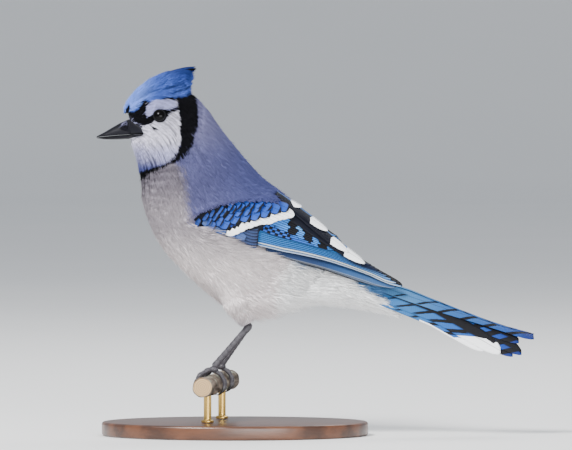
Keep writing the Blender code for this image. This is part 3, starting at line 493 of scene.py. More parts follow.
def mesh_piece(name, points, faces, finish, tint=None, bake=None):
    """An object from arrays in millimetres. Faces are arrays of triangles and of quads."""
    mesh = bpy.data.meshes.new(name)
    mesh.vertices.add(len(points))
    mesh.vertices.foreach_set("co", (points * MM).astype(np.float32).ravel())
    corners = np.concatenate([part.ravel() for part in faces])
    sizes = np.concatenate([np.full(len(part), part.shape[1]) for part in faces])
    mesh.loops.add(len(corners))
    mesh.loops.foreach_set("vertex_index", corners.astype(np.int32))
    mesh.polygons.add(len(sizes))
    starts = np.concatenate(([0], np.cumsum(sizes)[:-1]))
    mesh.polygons.foreach_set("loop_start", starts.astype(np.int32))
    mesh.polygons.foreach_set("use_smooth", np.full(len(sizes), True))
    mesh.update(calc_edges=True)
    if tint is not None:
        tint_data = mesh.color_attributes.new("Tint", "FLOAT_COLOR", "POINT")
        tint_data.data.foreach_set("color", tint.astype(np.float32).ravel())
    if bake is not None:
        layer = mesh.uv_layers.new(name="OFBake")
        layer.data.foreach_set("uv", bake[corners].astype(np.float32).ravel())
    mesh.validate()
    piece = bpy.data.objects.new(name, mesh)
    bpy.context.scene.collection.objects.link(piece)
    mesh.materials.append(finish.material)
    return piece


def keep(piece, slot, *nodes):
    """The piece rides with the bird and stands for the nodes."""
    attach(piece, BODY)
    if nodes:
        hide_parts(*nodes)
    return piece


def read_places(piece):
    places = np.empty(len(piece.data.vertices) * 3, np.float32)
    piece.data.vertices.foreach_get("co", places)
    return places.reshape(-1, 3)


def move_points(piece, places):
    """Puts a piece's points at places in millimetres."""
    piece.data.vertices.foreach_set("co", (places * MM).astype(np.float32).ravel())
    tidy_shell(piece)


def bake_places(form, r, angle, aside, forth):
    """Places on the bake map, by the ring and the turn on the form, with steps over a feather."""
    return np.stack(
        (0.01 + 0.97 * ((angle / (2 * math.pi)) % 1.0) + aside, 0.01 + 0.97 * (r / form.last) + forth),
        -1,
    )


def deselect():
    bpy.ops.object.select_all(action="DESELECT")


def wrapped(name, segments, rings, place, finish):
    """A ball primitive drawn out so that each point lies where place says.

    place takes the shares along, from 0 to 1, and the turns round, and gives millimetres.
    """
    deselect()
    bpy.ops.mesh.primitive_uv_sphere_add(segments=segments, ring_count=rings, radius=1)
    piece = bpy.context.object
    piece.name = name
    ball = read_places(piece).astype(float)
    along = np.arccos(np.clip(ball[:, 2], -1, 1)) / math.pi
    turn = np.arctan2(ball[:, 1], ball[:, 0])
    move_points(piece, place(along, turn))
    piece.data.materials.append(finish.material)
    return piece


def tidy_shell(piece):
    bpy.context.view_layer.objects.active = piece
    bpy.ops.object.mode_set(mode="EDIT")
    bpy.ops.mesh.select_all(action="SELECT")
    bpy.ops.mesh.normals_make_consistent(inside=False)
    bpy.ops.object.mode_set(mode="OBJECT")
    bpy.ops.object.shade_smooth()


def modified(piece, kind, **settings):
    """Adds a modifier to a piece and applies it."""
    deselect()
    piece.select_set(True)
    bpy.context.view_layer.objects.active = piece
    modifier = piece.modifiers.new(kind, kind)
    for name, value in settings.items():
        setattr(modifier, name, value)
    bpy.ops.object.modifier_apply(modifier=modifier.name)
    return piece


# Plumage


# The root of x^4 = x + 1, whose powers spread points evenly in three dimensions
EVEN_STEP = 1.22074408460575947536
TRIES_PER_ROOT = 14


def scatter(form, count, first, last, density):
    """Roots spread evenly over the form between two rings, fewer where the density is low."""
    tries = count * TRIES_PER_ROOT
    steps = 1.0 / EVEN_STEP ** np.arange(1, 4)
    spread = (SEED * 0.37 + np.arange(1, tries + 1)[:, None] * steps) % 1.0
    r = first + (last - first) * spread[:, 0]
    angle = (spread[:, 1] * 2 - 1) * math.pi
    along, around = form.slopes(r, angle)
    area = np.linalg.norm(np.cross(along, around), axis=-1)
    points = form.surface(r, angle)
    weight = area * density(points[:, 0], points[:, 2])
    chosen = np.nonzero(spread[:, 2] < weight / np.percentile(weight, 98))[0][:count]
    return r[chosen], angle[chosen]


def lay(form, r, angle, length, stations, sway):
    """Rings and angles along hairs that run with the form from their roots."""
    rs, angles = [r], [angle]
    for before, share in zip(stations, stations[1:]):
        along, around = form.slopes(rs[-1], angles[-1])
        reach = length * (share - before)
        rs.append(rs[-1] + reach / (np.linalg.norm(along, axis=-1) + 1e-6))
        girth = np.linalg.norm(around, axis=-1) + 0.5
        angles.append(angles[-1] + sway * reach / girth)
    return np.stack(rs, 1), np.stack(angles, 1)


STRAND_PROFILE = {3: (0.6, 1.0, 0.62), 2: (0.75, 0.9)}


def strands(name, form, roots, length, width, lift, tint, finish, sway, body=True, stations=3,
            dark=0.6):
    """A coat piece of thin, closed, tapering tufts that lie over the form.

    length, width and lift are arrays, one for each root, and lift has two columns, root and tip.
    dark is the painted shade of a root, deep in the coat; the tips are painted lighter, as painted
    light.
    """
    r, angle = roots
    count = len(r)
    shares = np.linspace(0, 1, stations + 1)
    rs, angles = lay(form, r, angle, length, shares, sway)
    base = form.surface(rs, angles)
    normal = form.normal(rs, angles)
    raised = lift[:, :1] + (lift[:, 1:] - lift[:, :1]) * shares**1.5
    if body:
        raised = raised + swell(base[..., 0], base[..., 2]) + thigh_swell(base)
    centre = base + normal * raised[..., None]
    along = unit(np.gradient(centre, axis=1))
    across = unit(np.cross(normal, along))
    half = width[:, None] * np.array(STRAND_PROFILE[stations]) / 2
    middle = centre[:, :stations]
    aside = across[:, :stations] * half[..., None]
    ridge = normal[:, :stations] * (half * 0.5)[..., None]
    sections = np.stack((middle - aside, middle + ridge, middle + aside), 2)
    points = np.concatenate((sections.reshape(count, -1, 3), centre[:, -1:]), 1)
    size = points.shape[1]
    quads, triangles = [], []
    for s in range(stations - 1):
        for a, b in ((0, 1), (1, 2), (2, 0)):
            quads.append((3 * s + a, 3 * s + 3 + a, 3 * s + 3 + b, 3 * s + b))
    end = 3 * (stations - 1)
    for a, b in ((0, 1), (1, 2), (2, 0)):
        triangles.append((end + a, size - 1, end + b))
    triangles.append((0, 1, 2))
    offset = (np.arange(count) * size)[:, None, None]
    faces = [(np.array(part)[None] + offset).reshape(-1, len(part[0])) for part in (quads, triangles)]
    # Painted shade at the tufts' roots and painted light at their tips
    shade = np.concatenate((np.repeat(np.linspace(dark, 1.04, stations), 3), [1.14]))
    colours = np.ones((count, size, 4))
    colours[..., :3] = tint[:, None, :3] * shade[None, :, None]
    side = np.concatenate((np.tile((-0.5, 0.0, 0.5), stations), [0.0])) * 0.003
    forth = np.concatenate((np.repeat(shares[:stations], 3), [1.0])) * 0.003
    bake = bake_places(form, r[:, None], angle[:, None], side, forth)
    return mesh_piece(
        name, points.reshape(-1, 3), faces, finish, colours.reshape(-1, 4), bake.reshape(-1, 2)
    )


def blend(first, second, share):
    """One colour for each share. The first may be one colour or a row for each share."""
    return np.array(first) * (1 - share[:, None]) + np.array(second) * share[:, None]


def ease(value, low, high):
    share = np.clip((value - low) / (high - low), 0, 1)
    return share * share * (3 - 2 * share)


def body_colour(x, z, rng=None):
    """Colours of the plumage at points in side view. A random draw frays the markings' edges."""
    fray = rng.normal(0, 0.3, (2, len(x))) if rng else np.zeros((2, len(x)))
    x, z = x + fray[0], z + fray[1]
    low = blend(BREAST, BREAST_LOW, ease(-z, -150, -122))
    low = blend(low, BELLY, ease(-z, -124, -92))
    white = ease(x - line_x(WHITE_FROM, z), -5, 4)
    low = blend(low, VENT_WHITE, white)
    cape = blend(NAPE, CAPE, ease(-z, -178, -156))
    cape = blend(cape, CAPE_DEEP, ease(x, -25, 20) * 0.8)
    over = ease(x - line_x(CAPE_EDGE, z) + fray[0] * 3, -3.0, 3.0)
    over = np.where(z < 121, 0.0, over)
    colour = blend(low, cape, over)
    rear = ease(z - along_table(WHITE_TOP, x) + fray[1] * 2, -1.5, 1.5) * ease(x, 30, 36)
    colour = blend(colour, REAR_BLUE, rear)
    face = inside(FACE_END, x, z)
    cheek = blend(CHEEK_WHITE, THROAT_WHITE, ease(-z, -170, -160))
    # The throat turns bluer with painted shade towards the collar
    cheek = blend(cheek, THROAT_BLUE_SHADE, ease(-z, -160, -152))
    colour[face] = cheek[face]
    crown = (z > along_table(CREST_LOW, x)) & (x < CREST_END)
    colour[crown] = CREST_BLUE
    colour[inside(BROW, x, z)] = BROW_WHITE
    for outline in (LORE, EYE_LINE, BROW_EDGE, BROW_SPOT, UNDER_EYE):
        colour[inside(outline, x, z)] = BLACK
    colour[inside(COLLAR, x, z) & ~crown] = BLACK
    nasal = inside(NASAL, x, z)
    draw = rng.random(len(x)) if rng else np.full(len(x), 0.5)
    for tone, share in ((NASAL_DARK, 1.0), (NASAL_GREY, 0.45), (BROW_WHITE, 0.16)):
        colour[nasal & (draw < share)] = tone
    return colour


def coat_finish():
    """Fine barbs: the tufts' own colour with a little grain."""
    finish = Finish("plumage", 0.85, Specular_IOR_Level=0.1)
    tint = finish.attribute("Tint")
    grain = finish.noise(1400.0, 2.0)
    finish.colour(finish.shade(tint, 0.88 + 0.24 * grain))
    return finish


def make_skin(body, crest):
    """One skin under the plumage of head, neck, trunk and thighs."""

    def body_place(along, turn):
        ends = (along < 1e-4) | (along > 1 - 1e-4)
        r = along * (body.last - 0.2)
        points = body.surface(r, turn)
        off = -SKIN_DEPTH + swell(points[:, 0], points[:, 2], skin=True) + thigh_swell(points)
        points = points + body.normal(r, turn) * off[:, None]
        return np.where(ends[:, None], body.middle(r), points)

    def crest_place(along, turn):
        r = 0.3 + along * (CREST_CORE_END - 0.3)
        narrow = np.sqrt(np.clip(1 - np.abs(2 * along - 1) ** 6, 0, 1))
        centres = crest.middle(r)
        out = crest.surface(r, turn) - crest.normal(r, turn) * SKIN_DEPTH
        return centres + (out - centres) * narrow[:, None]

    finish = Finish("skin", 0.8, Specular_IOR_Level=0.2)
    # The skin takes the plumage's markings darkened to 0.6-0.9, as painted shade deep among the tufts'
    # roots
    finish.colour(finish.shade(finish.attribute("Tint"), 0.6 + 0.3 * finish.noise(500.0, 3.0)))
    skin = wrapped("skin", 160, 170, body_place, finish)
    core = wrapped("crest_core", 64, 40, crest_place, finish)
    modified(skin, "BOOLEAN", operation="UNION", object=core, solver="EXACT")
    for _, sign in SIDES:
        thigh = wrapped("thigh_core", 40, 30, thigh_limb(sign).place(-SKIN_DEPTH), finish)
        modified(skin, "BOOLEAN", operation="UNION", object=thigh, solver="EXACT")
        bpy.data.objects.remove(thigh, do_unlink=True)
    bpy.data.objects.remove(core, do_unlink=True)
    paint_skin(skin)
    return keep(skin, "breast_feathers", "head", "neck", "torso", "vent", "thigh_left", "thigh_right")


def paint_skin(skin):
    """Gives the skin the plumage's markings, point by point."""
    places = read_places(skin) / MM
    colours = body_colour(places[:, 0].astype(float), places[:, 2].astype(float))
    tint = skin.data.color_attributes.new("Tint", "FLOAT_COLOR", "POINT")
    tint.data.foreach_set("color", colours.astype(np.float32).ravel())


def streaks(rng, r, angle, along=1.6, around=80):
    """Long soft streaks that run with the plumage, from -1 to 1, so that tufts keep together."""
    rows = int(40 * along) + 3
    table = rng.uniform(-1, 1, (rows, around))
    u, v = r * along, (angle / (2 * math.pi) % 1.0) * around
    i, j = u.astype(int), v.astype(int)
    s, t = u - i, v - j
    low = table[i, j % around] * (1 - t) + table[i, (j + 1) % around] * t
    high = table[i + 1, j % around] * (1 - t) + table[i + 1, (j + 1) % around] * t
    return low * (1 - s) + high * s


def random_sizes(rng, count, middle, spread):
    return middle * (1 + spread * rng.uniform(-1, 1, count))


def jittered(colours, rng, amount):
    return colours * (1 + amount * rng.normal(0, 1, (len(colours), 1)))


def make_body_coat(body, finish):
    """The coat of face, neck, trunk and vent, a piece for each stretch."""
    rng = np.random.default_rng(SEED)
    stretches = (
        # name, first ring, last ring, count, length, width, stations, streaks round, their depth of tone
        # and painted shade, share of loose tufts
        ("coat_face", 0.05, 3.0, 12000, 3.6, 0.4, 3, 280, 0.36, 0.05),
        ("coat_cheek", 2.4, 4.9, 12300, 5.0, 0.4, 3, 300, 0.42, 0.03),
        ("coat_neck", 4.3, 7.0, 19000, 6.2, 0.46, 2, 220, 0.09, 0.01),
        ("coat_breast", 6.3, 9.1, 19500, 7.4, 0.52, 2, 260, 0.08, 0.03),
        ("coat_flank", 8.4, 11.6, 19500, 8.4, 0.56, 2, 260, 0.08, 0.05),
        ("coat_fringe", 6.2, 11.2, 5000, 9.0, 0.48, 2, 260, 0.12, 0.3),
        ("coat_vent", 10.9, 16.8, 15500, 8.4, 0.58, 2, 130, 0.05, 0.14),
    )
    for name, first, last, count, length, width, stations, around, depth, loose in stretches:
        fringe = name == "coat_fringe"
        r, angle = scatter(body, count, first, last, fringe_density if fringe else coat_density)
        stay = rng.random(len(r)) < 0.08 + 0.92 * ease(last - r, 0.0, 0.5)
        r, angle = r[stay], angle[stay]
        place = body.surface(r, angle)
        x, z = place[:, 0], place[:, 2]
        count = len(r)
        lengths = random_sizes(rng, count, length, 0.22)
        if first < HEAD_END:
            to_eye = np.hypot(x - EYE_X, z - EYE_Z)
            lengths = lengths * (0.45 + 0.55 * ease(to_eye, 4.2, 9.0))
            ahead = (x < EYE_X + 1) & (np.abs(z - EYE_Z) < 5)
            lengths = np.where(ahead, np.minimum(lengths, np.maximum(to_eye - 3.0, 0.8)), lengths)
        lengths = lengths * (1 - 0.45 * ease(-distance(COLLAR, x, z), -5.0, -1.0) * (x < -20))
        over = z > along_table(WING_LINE, x)
        reach = np.maximum(wing_distance(x, z), 0) + rng.uniform(0.4, 2.2, count)
        lengths = np.where(over & (x > -42), np.minimum(lengths, reach * 1.1), lengths)
        widths = random_sizes(rng, count, width, 0.25)
        clump = streaks(rng, r, angle, 1.1 if last < 12 else 0.8, around)
        on_head = last < 5
        # gap marks the gaps between clumps, which lie lower and take painted shade
        gap = ease(-clump, -0.1 * on_head, 0.55 - 0.2 * on_head) * (1 - 0.7 * inside(BROW, x, z))
        fine = streaks(rng, r, angle, 2.2, 2 * around)
        lifts = np.stack((np.full(count, -0.9), random_sizes(rng, count, 0.3, 0.7)), 1)
        lifts[:, 1] += (0.1 + 0.1 * on_head) * clump - 0.2 * gap
        lifts[:, 1] += (rng.random(count) < loose) * rng.uniform(0.5, 1.0 + 0.1 * length, count)
        ragged = (x > 0) & (x < 34) & (z < 82) & (rng.random(count) < 0.16)
        lifts[:, 1] += ragged * rng.uniform(1.5, 6.0, count)
        lengths = lengths * (1 + 0.3 * ragged)
        sway = rng.normal(0, 0.04 if on_head else 0.1, count) - lie_turn(x, z) * np.sign(angle)
        seen = body.surface(*(part[:, 1] for part in lay(body, r, angle, lengths * 0.6, (0, 1), sway)))
        sway = sway + ragged * rng.normal(0, 0.3, count)
        if fringe:
            sway = sway - rng.uniform(0.15, 0.5, count) * np.sign(angle)
            lifts[:, 1] += rng.uniform(0.4, 1.8, count)
            seen = place - (0, 0, 3)
        depth = depth * (1 - 0.5 * on_head * ease(z - 0.9 * x, 200, 216))
        # Streaks of tone, lighter in the clumps, and painted shade in the gaps between them
        shade = (1 + 0.5 * depth * clump) * (1 - 1.6 * depth * gap) * (1 + 0.10 * fine)
        colours = jittered(body_colour(seen[:, 0], seen[:, 2], rng)[:, :3], rng, 0.08)
        # dark gives the tufts' roots painted shade, deeper on the head
        keep(
            strands(name, body, (r, angle), lengths, widths, lifts, colours * shade[:, None],
                    finish, sway, stations=stations, dark=0.6 if on_head else 0.86),
            "breast_feathers",
        )


def fringe_density(x, z):
    """The flank's feathers that lie over the lower edge of the folded wing."""
    off = wing_distance(x, z)
    under = z < along_table(WING_LINE, x) - 2.0
    return (under & (off > -0.5) & (off < 6.0) & (x > -24) & (x < 14)).astype(float)


def lie_turn(x, z):
    """How far the flank's feathers lean back towards the wing."""
    off = wing_distance(x, z)
    under = z < along_table(WING_LINE, x)
    return np.where(under & (off > -2), 0.5 * np.clip(1 - off / 26.0, 0, 1), 0.0)


def coat_density(x, z):
    """No plumage under the wing, in the eye or over the bill."""
    off = wing_distance(x, z)
    under = z < along_table(WING_LINE, x)
    open_ = np.where(under, off > -0.5, off > -1.5)
    eye = np.hypot(x - EYE_X, z - EYE_Z) > EYE_OPENING
    bill = inside(BILL_PATCH, x, z)
    return (open_ & eye & ~bill).astype(float) * (0.4 + 0.6 * ease(-x, -60, -20))


def make_crest(crest, finish):
    """Long narrow feathers combed back over the crest, with loose ends behind."""
    rng = np.random.default_rng(SEED + 1)
    for name, length, rise in (("crest_under", 9.0, 0.0), ("crest_over", 11.0, 0.35)):
        r, angle = scatter(crest, 8000, 0.0, 4.9, crest_density)
        count = len(r)
        place = crest.surface(r, angle)
        x, z = place[:, 0], place[:, 2]
        lengths = random_sizes(rng, count, length, 0.2) * (0.3 + 0.7 * ease(r, 0.1, 1.8))
        ragged = 2.4 * streaks(rng, r, angle, 0.4, 60) + rng.normal(0, 0.6, count)
        room = (CREST_END - x) * 1.06 + ragged - 0.5 * (z < 203) - 0.4 * (z < 198)
        lengths = np.minimum(lengths, np.maximum(room, 1.5))
        widths = random_sizes(rng, count, 0.66, 0.25)
        clump = streaks(rng, r, angle, 0.7, 64)
        gap = ease(-clump, 0.1, 0.7)
        loose = (rng.random(count) < 0.05) * rng.uniform(0.3, 1.2, count)
        tips = random_sizes(rng, count, 0.35 + rise, 0.6) + 0.35 * clump + loose
        tips = np.where(z > 203, np.minimum(tips, 0.3), tips)
        lifts = np.stack((np.full(count, -0.8 + rise * 0.3), tips), 1)
        sway = rng.normal(0, 0.05, count)
        seen = crest.surface(*(part[:, 1] for part in lay(crest, r, angle, lengths * 0.6, (0, 1), sway)))
        x, z = seen[:, 0], seen[:, 2]
        over = z - along_table(CREST_LOW, x) + rng.normal(0, 0.4, count)
        over = over + clump * (0.8 + 1.4 * ease(-x, 52, 56))
        deep = ease(x, -50, -28) * ease(over, 2, 12) * 0.7
        colours = blend(CREST_BLUE, CREST_DEEP, deep)
        colours = blend(colours, CREST_LIGHT, ease(-x, 44, 58) * 0.8)
        # Black below the crest's blue, and painted shade in the notch near the crest's tip
        colours[(over < 0) | inside(CREST_NOTCH_SHADE, x, z)] = BLACK
        colours[inside(BROW, x, z)] = BROW_WHITE
        colours[inside(LORE, x, z)] = BLACK
        # Streaks of tone, and painted shade in the gaps between clumps towards the crest's rear
        shade = (1 + 0.25 * clump) * (1 - 0.62 * gap * ease(x, -60, -42))
        colours = jittered(colours[:, :3], rng, 0.12) * shade[:, None]
        keep(strands(name, crest, (r, angle), lengths, widths, lifts, colours, finish, sway,
                     body=False), "face_feathers")


def crest_density(x, z):
    """No crest feathers grow from the lore or over the brow."""
    return (z > np.interp(x, (-60, -54, -50), (183.5, 187, 190.2))).astype(float)


def make_thigh_coat(finish):
    rng = np.random.default_rng(SEED + 2)
    for side, sign in SIDES:
        limb = thigh_limb(sign)
        r, angle = scatter(limb, 4000, 3.2, limb.last, lambda x, z: np.ones_like(x))
        count = len(r)
        lengths = random_sizes(rng, count, 6.5, 0.25)
        widths = random_sizes(rng, count, 0.6, 0.25)
        lifts = np.stack((np.full(count, -0.9), random_sizes(rng, count, 0.3, 0.8)), 1)
        lifts[:, 1] += (rng.random(count) < 0.2) * rng.uniform(0.4, 1.6, count)
        place = limb.surface(r, angle)
        clump = streaks(rng, r, angle, 0.8, 26)
        colours = blend(BELLY, THIGH_LOW, ease(-place[:, 2], -74, -64) * 0.6)
        colours = jittered(colours[:, :3], rng, 0.08) * (1 + 0.12 * clump)[:, None]
        sway = rng.normal(0, 0.1, count)
        # The tufts' roots take a light painted shade (dark=0.8)
        piece = strands("coat_thigh_" + side, limb, (r, angle), lengths, widths, lifts, colours,
                        finish, sway, body=False, stations=2, dark=0.8)
        keep(piece, "breast_feathers")


# Feathers of wing and tail

VANE_THICK = 0.28


def outline_share(t, root=0.6, shoulder=0.72, end=1.006):
    """A vane's width at t from root to tip, as a share of its full width."""
    taper = np.clip((t - shoulder) / (end - shoulder), 0.0, 1.0)
    return np.minimum(root + 2.2 * t, 1.0) * np.sqrt(1 - taper**2.2)


class Plumes:
    """Feathers of one kind. Grids run over feathers, stations along and shares across.

    The share across is -1 at the outer edge, which is the lower one on a folded wing, 0 on the
    shaft and 1 at the inner edge.
    """

    def __init__(self, length, width, stations, across):
        self.t = np.concatenate((np.linspace(0, 0.72, stations - 6), 1 - 0.28 * np.array(
            (0.8, 0.55, 0.33, 0.16, 0.05, 0.0))))
        self.s = np.linspace(-1, 1, across)
        shape = (len(length), stations, across)
        self.across = np.broadcast_to(self.s, shape)
        self.from_root = np.broadcast_to((length[:, None] * self.t)[..., None], shape)
        self.from_tip = np.broadcast_to((length[:, None] * (1 - self.t))[..., None], shape)
        self.aside = self.across * (width / 2)[:, None, None]
        self.number = np.broadcast_to(np.arange(len(length))[:, None, None], shape)
        self.top = self.normal = None

    def lie_on(self, form, roots, tips, lifts, tilt, bow=0.0, rise=0.25):
        """Lays the feathers on the form's left side, from their roots to their tips in side view.

        lifts holds the heights of the roots and those of the tips.
        """
        reach = tips - roots
        turned = np.stack((reach[:, 1], -reach[:, 0]), 1) * bow
        t = self.t[None, :, None]
        line = roots[:, None] + reach[:, None] * t + turned[:, None] * np.sin(math.pi * t)
        root_lift, tip_lift = (np.asarray(part, float)[:, None] for part in lifts)
        lift = root_lift + (tip_lift - root_lift) * self.t
        sought = line
        for _ in range(4):
            at = form.side(sought[..., 0], sought[..., 1])
            seen = form.surface(*at) + form.normal(*at) * (lift + rise)[..., None]
            sought = sought + (line - seen[..., ::2]) * 0.8
        centre = form.surface(*form.side(sought[..., 0], sought[..., 1]))
        r, turn = form.place(centre)
        normal = form.normal(r, np.arctan2(turn[..., 1], turn[..., 0]))
        across = unit(np.cross(normal, np.gradient(centre, axis=1)))
        half = self.aside * outline_share(self.t)[None, :, None]
        places = centre[:, :, None] + across[:, :, None] * half[..., None]
        r, turn = form.place(places)
        angle = np.arctan2(np.maximum(turn[..., 1], 0.03), turn[..., 0])
        over = lift[..., None] - self.across * tilt / 2 + rise * (1 - self.across**2)
        self.normal = form.normal(r, angle)
        self.top = form.surface(r, angle) + self.normal * over[..., None]
        return self

    @property
    def x(self):
        return self.top[..., 0]

    @property
    def z(self):
        return self.top[..., 2]


def full(plumes, value):
    return np.broadcast_to(np.asarray(value, float), plumes.across.shape)


def feather_arrays(plumes, tint, bar=(0, 0, 0), mark=(-9, 2, 0), thick=VANE_THICK):
    """Points, quads and attributes of closed vanes.

    bar holds a phase, a share of it that is dark, and a strength. mark holds how deep a point
    lies in the white, the share across where the dark inner vane starts, and a black rim's width.
    """
    top, normal = plumes.top, plumes.normal
    count, stations, across = top.shape[:3]
    slim = 0.45 + 0.55 * (1 - np.abs(plumes.across) ** 3)
    under = top - normal * (thick * slim)[..., None]

    def ring(over, below):
        return np.concatenate((over, below[:, :, ::-1]), 2).reshape(count * stations * 2 * across, -1)

    def both(*grids):
        grid = np.stack([full(plumes, g) for g in grids], -1)
        return ring(grid, grid)

    wide = 2 * across
    quads = []
    for k in range(stations - 1):
        for j in range(wide):
            a, b = k * wide, (k + 1) * wide
            quads.append((a + j, a + (j + 1) % wide, b + (j + 1) % wide, b + j))
    end = (stations - 1) * wide
    for j in range(across - 1):
        quads.append((j, wide - 1 - j, wide - 2 - j, j + 1))
        quads.append((end + j, end + j + 1, end + wide - 2 - j, end + wide - 1 - j))
    offset = (np.arange(count) * stations * wide)[:, None, None]
    faces = (np.array(quads)[None] + offset).reshape(-1, 4)
    colour = np.concatenate((tint, np.ones((*tint.shape[:3], 1))), -1)
    return {
        "points": ring(top, under),
        "faces": faces,
        "Tint": ring(colour, colour),
        "Vane": both(plumes.across, plumes.from_root, plumes.from_tip),
        "Bar": both(*bar),
        "Mark": both(*mark),
        "root": np.repeat(top[:, 0, across // 2], stations * wide, axis=0),
        "tip": both(plumes.from_root)[:, 0],
        "aside": both(plumes.across)[:, 0],
    }


def feather_piece(name, batches, form, sign, finish, slot, *nodes):
    """One object from batches of feathers, on the side of the bird that the sign of y names."""
    joined = {key: [] for key in ("points", "Tint", "Vane", "Bar", "Mark", "bake")}
    faces, start = [], 0
    mirror = (1, -sign, 1)
    for batch in batches:
        quads = batch["faces"][:, ::-1] if outward(batch) == (sign < 0) else batch["faces"]
        faces.append(quads + start)
        start += len(batch["points"])
        r, turn = form.place(batch["root"] * mirror)
        aside, forth = 0.0015 * batch["aside"], 0.003 * batch["tip"] / (batch["tip"].max() + 1)
        joined["points"].append(batch["points"] * mirror)
        joined["bake"].append(bake_places(form, r, np.arctan2(turn[:, 1], turn[:, 0]), aside, forth))
        for key in ("Tint", "Vane", "Bar", "Mark"):
            joined[key].append(batch[key])
    joined = {key: np.concatenate(value) for key, value in joined.items()}
    piece = mesh_piece(name, joined["points"], [np.concatenate(faces)], finish, joined["Tint"],
                       joined["bake"])
    for key in ("Vane", "Bar", "Mark"):
        layer = piece.data.attributes.new(key, "FLOAT_VECTOR", "POINT")
        layer.data.foreach_set("vector", joined[key].astype(np.float32).ravel())
    return keep(piece, slot, *nodes)


def outward(batch):
    """Whether the faces of a batch look outwards."""
    corners = batch["points"][batch["faces"]]
    first = np.cross(corners[:, 1] - corners[:, 0], corners[:, 2] - corners[:, 0])
    second = np.cross(corners[:, 2] - corners[:, 0], corners[:, 3] - corners[:, 0])
    return ((first + second) * corners[:, 0]).sum() > 0


def curve_points(line, shares):
    """Points at shares of the way along a line, evenly by its length."""
    line = np.array(line, float)
    steps = np.hypot(*np.diff(line, axis=0).T)
    lengths = np.concatenate(([0], np.cumsum(steps))) / steps.sum()
    return np.stack([np.interp(shares, lengths, line[:, k]) for k in range(line.shape[1])], 1)


def quill_finish():
    """Vanes with bars, dark inner vanes, black rims, white tips and fine barbs."""
    finish = Finish("vanes", 0.62, Specular_IOR_Level=0.2)
    across, root, tip = finish.parts(finish.attribute("Vane", 1))
    phase, dark, strength = finish.parts(finish.attribute("Bar", 1))
    white, inner, rim = finish.parts(finish.attribute("Mark", 1))
    rough = (finish.noise(900.0, 2.0) - 0.5) * 0.25
    beat = abs((phase + rough * 0.35) % 1.0 - 0.5)
    bar = (beat - dark / 2).step(0.03, -0.03) * strength
    web = (across - inner + rough * 0.15).step(-0.03, 0.03)
    edge = tip.math("MINIMUM", tip, (1.0 - abs(across)) * 6.5)
    fringe = (edge - rim + rough * 0.5).step(0.12, -0.12)
    clear = (white + rough * 1.5).step(-0.15, 0.15)
    barbs = ((root + abs(across) * 2.4) * 14.0).sine()
    lines = ((root - abs(across) * 0.5) * 5.2).sine()
    tint = finish.shade(finish.attribute("Tint"), 0.97 + 0.05 * barbs + 0.05 * lines)
    shaft = abs(across).step(0.07, 0.03)
    colour = finish.mix(bar.math("MAXIMUM", bar, web), tint, BLACK)
    colour = finish.mix(fringe, colour, BLACK)
    colour = finish.mix(clear, colour, srgb(252, 253, 255))
    finish.colour(finish.shade(colour, 1.0 - 0.45 * shaft))
    finish.bump(barbs * 0.5 + shaft * 1.2, 0.0001, 0.35)
    return finish


PRIMARY_ROOTS = ((13, 119.2), (12.5, 111.2))
PRIMARY_TIPS = ((77.5, 97.4), (83, 94.0), (88, 90.6), (92.5, 87.6), (95.3, 85.8))
LOW_PRIMARY_ROOTS = ((18, 108), (34, 103))
LOW_PRIMARY_TIPS = ((91.5, 85.4), (86, 86.2), (79, 88.2))
SECONDARY_ROOTS = ((10.5, 121.8), (15.5, 136))
SECONDARY_TIPS = ((64, 106), (58, 114))
# First bar of the secondaries in side view, and the way that the bars follow each other
BARS_START, BARS_LIE = (33.1, 119.3), (0.89, 0.455)
# Root, tip, width and white tip's length, from the lowest to the highest
TERTIALS = (
    (24.0, 132.8, 74.1, 98.9, 7.4, 14.0),
    (24.0, 139.0, 64.6, 105.5, 7.0, 12.5),
    (24.0, 139.0, 53.0, 117.4, 6.4, 12.5),
    (20.0, 139.0, 38.0, 131.0, 5.4, 8.0),
)
# Lines of the coverts' tips, from the white bar forward, with heights over the wing's sheet
COVERT_LINES = (
    ((0, 115.8, 5.4), (4.7, 117.5, 5.8), (9.5, 120.1, 6.2), (16.1, 122.2, 6.6), (22.8, 123.3, 6.8),
     (28, 125.2, 7), (36, 126.4, 7)),
    ((-6, 117.8, 5.8), (0.6, 121.6, 6.1), (3.8, 123.4, 6.4), (9.5, 124.7, 6.8), (18.1, 125.8, 7.2),
     (22.8, 128.2, 7.3), (28.5, 129.6, 7.3), (33, 130, 7.2)),
    ((-12.5, 118.4, 5.6), (-6, 123, 6.0), (3, 127.3, 6.6), (12, 129.2, 7.0), (24, 131, 7.2)),
    ((-19, 120, 4.8), (-13, 125, 5.2), (-4, 129.3, 5.8), (6, 131.2, 6.4), (14, 132, 6.8)),
)
# Share between the lines, count, length and width of each row of coverts
COVERT_ROWS = (
    (0.0, 13, 17.0, 6.2), (1.0, 7, 13.0, 7.0), (1.9, 7, 11.0, 6.8), (2.65, 7, 9.5, 6.2),
    (3.15, 7, 8.5, 5.6),
)
BLUE_BRIGHT, BLUE_MID, BLUE_DEEP = srgb(72, 150, 236), srgb(32, 92, 188), srgb(20, 50, 124)
CYAN, AZURE, NAVY = srgb(132, 205, 250), srgb(38, 104, 172), srgb(7, 10, 23)
COVERT_BLUE, COVERT_LIGHT = srgb(18, 46, 124), srgb(38, 88, 186)


def mixed(first, second, share):
    """A colour without alpha for each point, from the first to the second by the share."""
    first, second = (np.asarray(colour)[..., :3] for colour in (first, second))
    return first + (second - first) * share[..., None]


def plain(plumes, colour, rng, amount):
    """One colour a feather, a little lighter or darker from one to the next."""
    count = plumes.across.shape[0]
    shade = 1 + amount * rng.normal(0, 1, (count, 1, 1, 1))
    return np.broadcast_to(np.array(colour[:3]), (*plumes.across.shape, 3)) * shade


def between(ends, shares):
    """Points at shares of the way between two points."""
    first, last = np.array(ends, float)
    return first + (last - first) * shares[:, None]


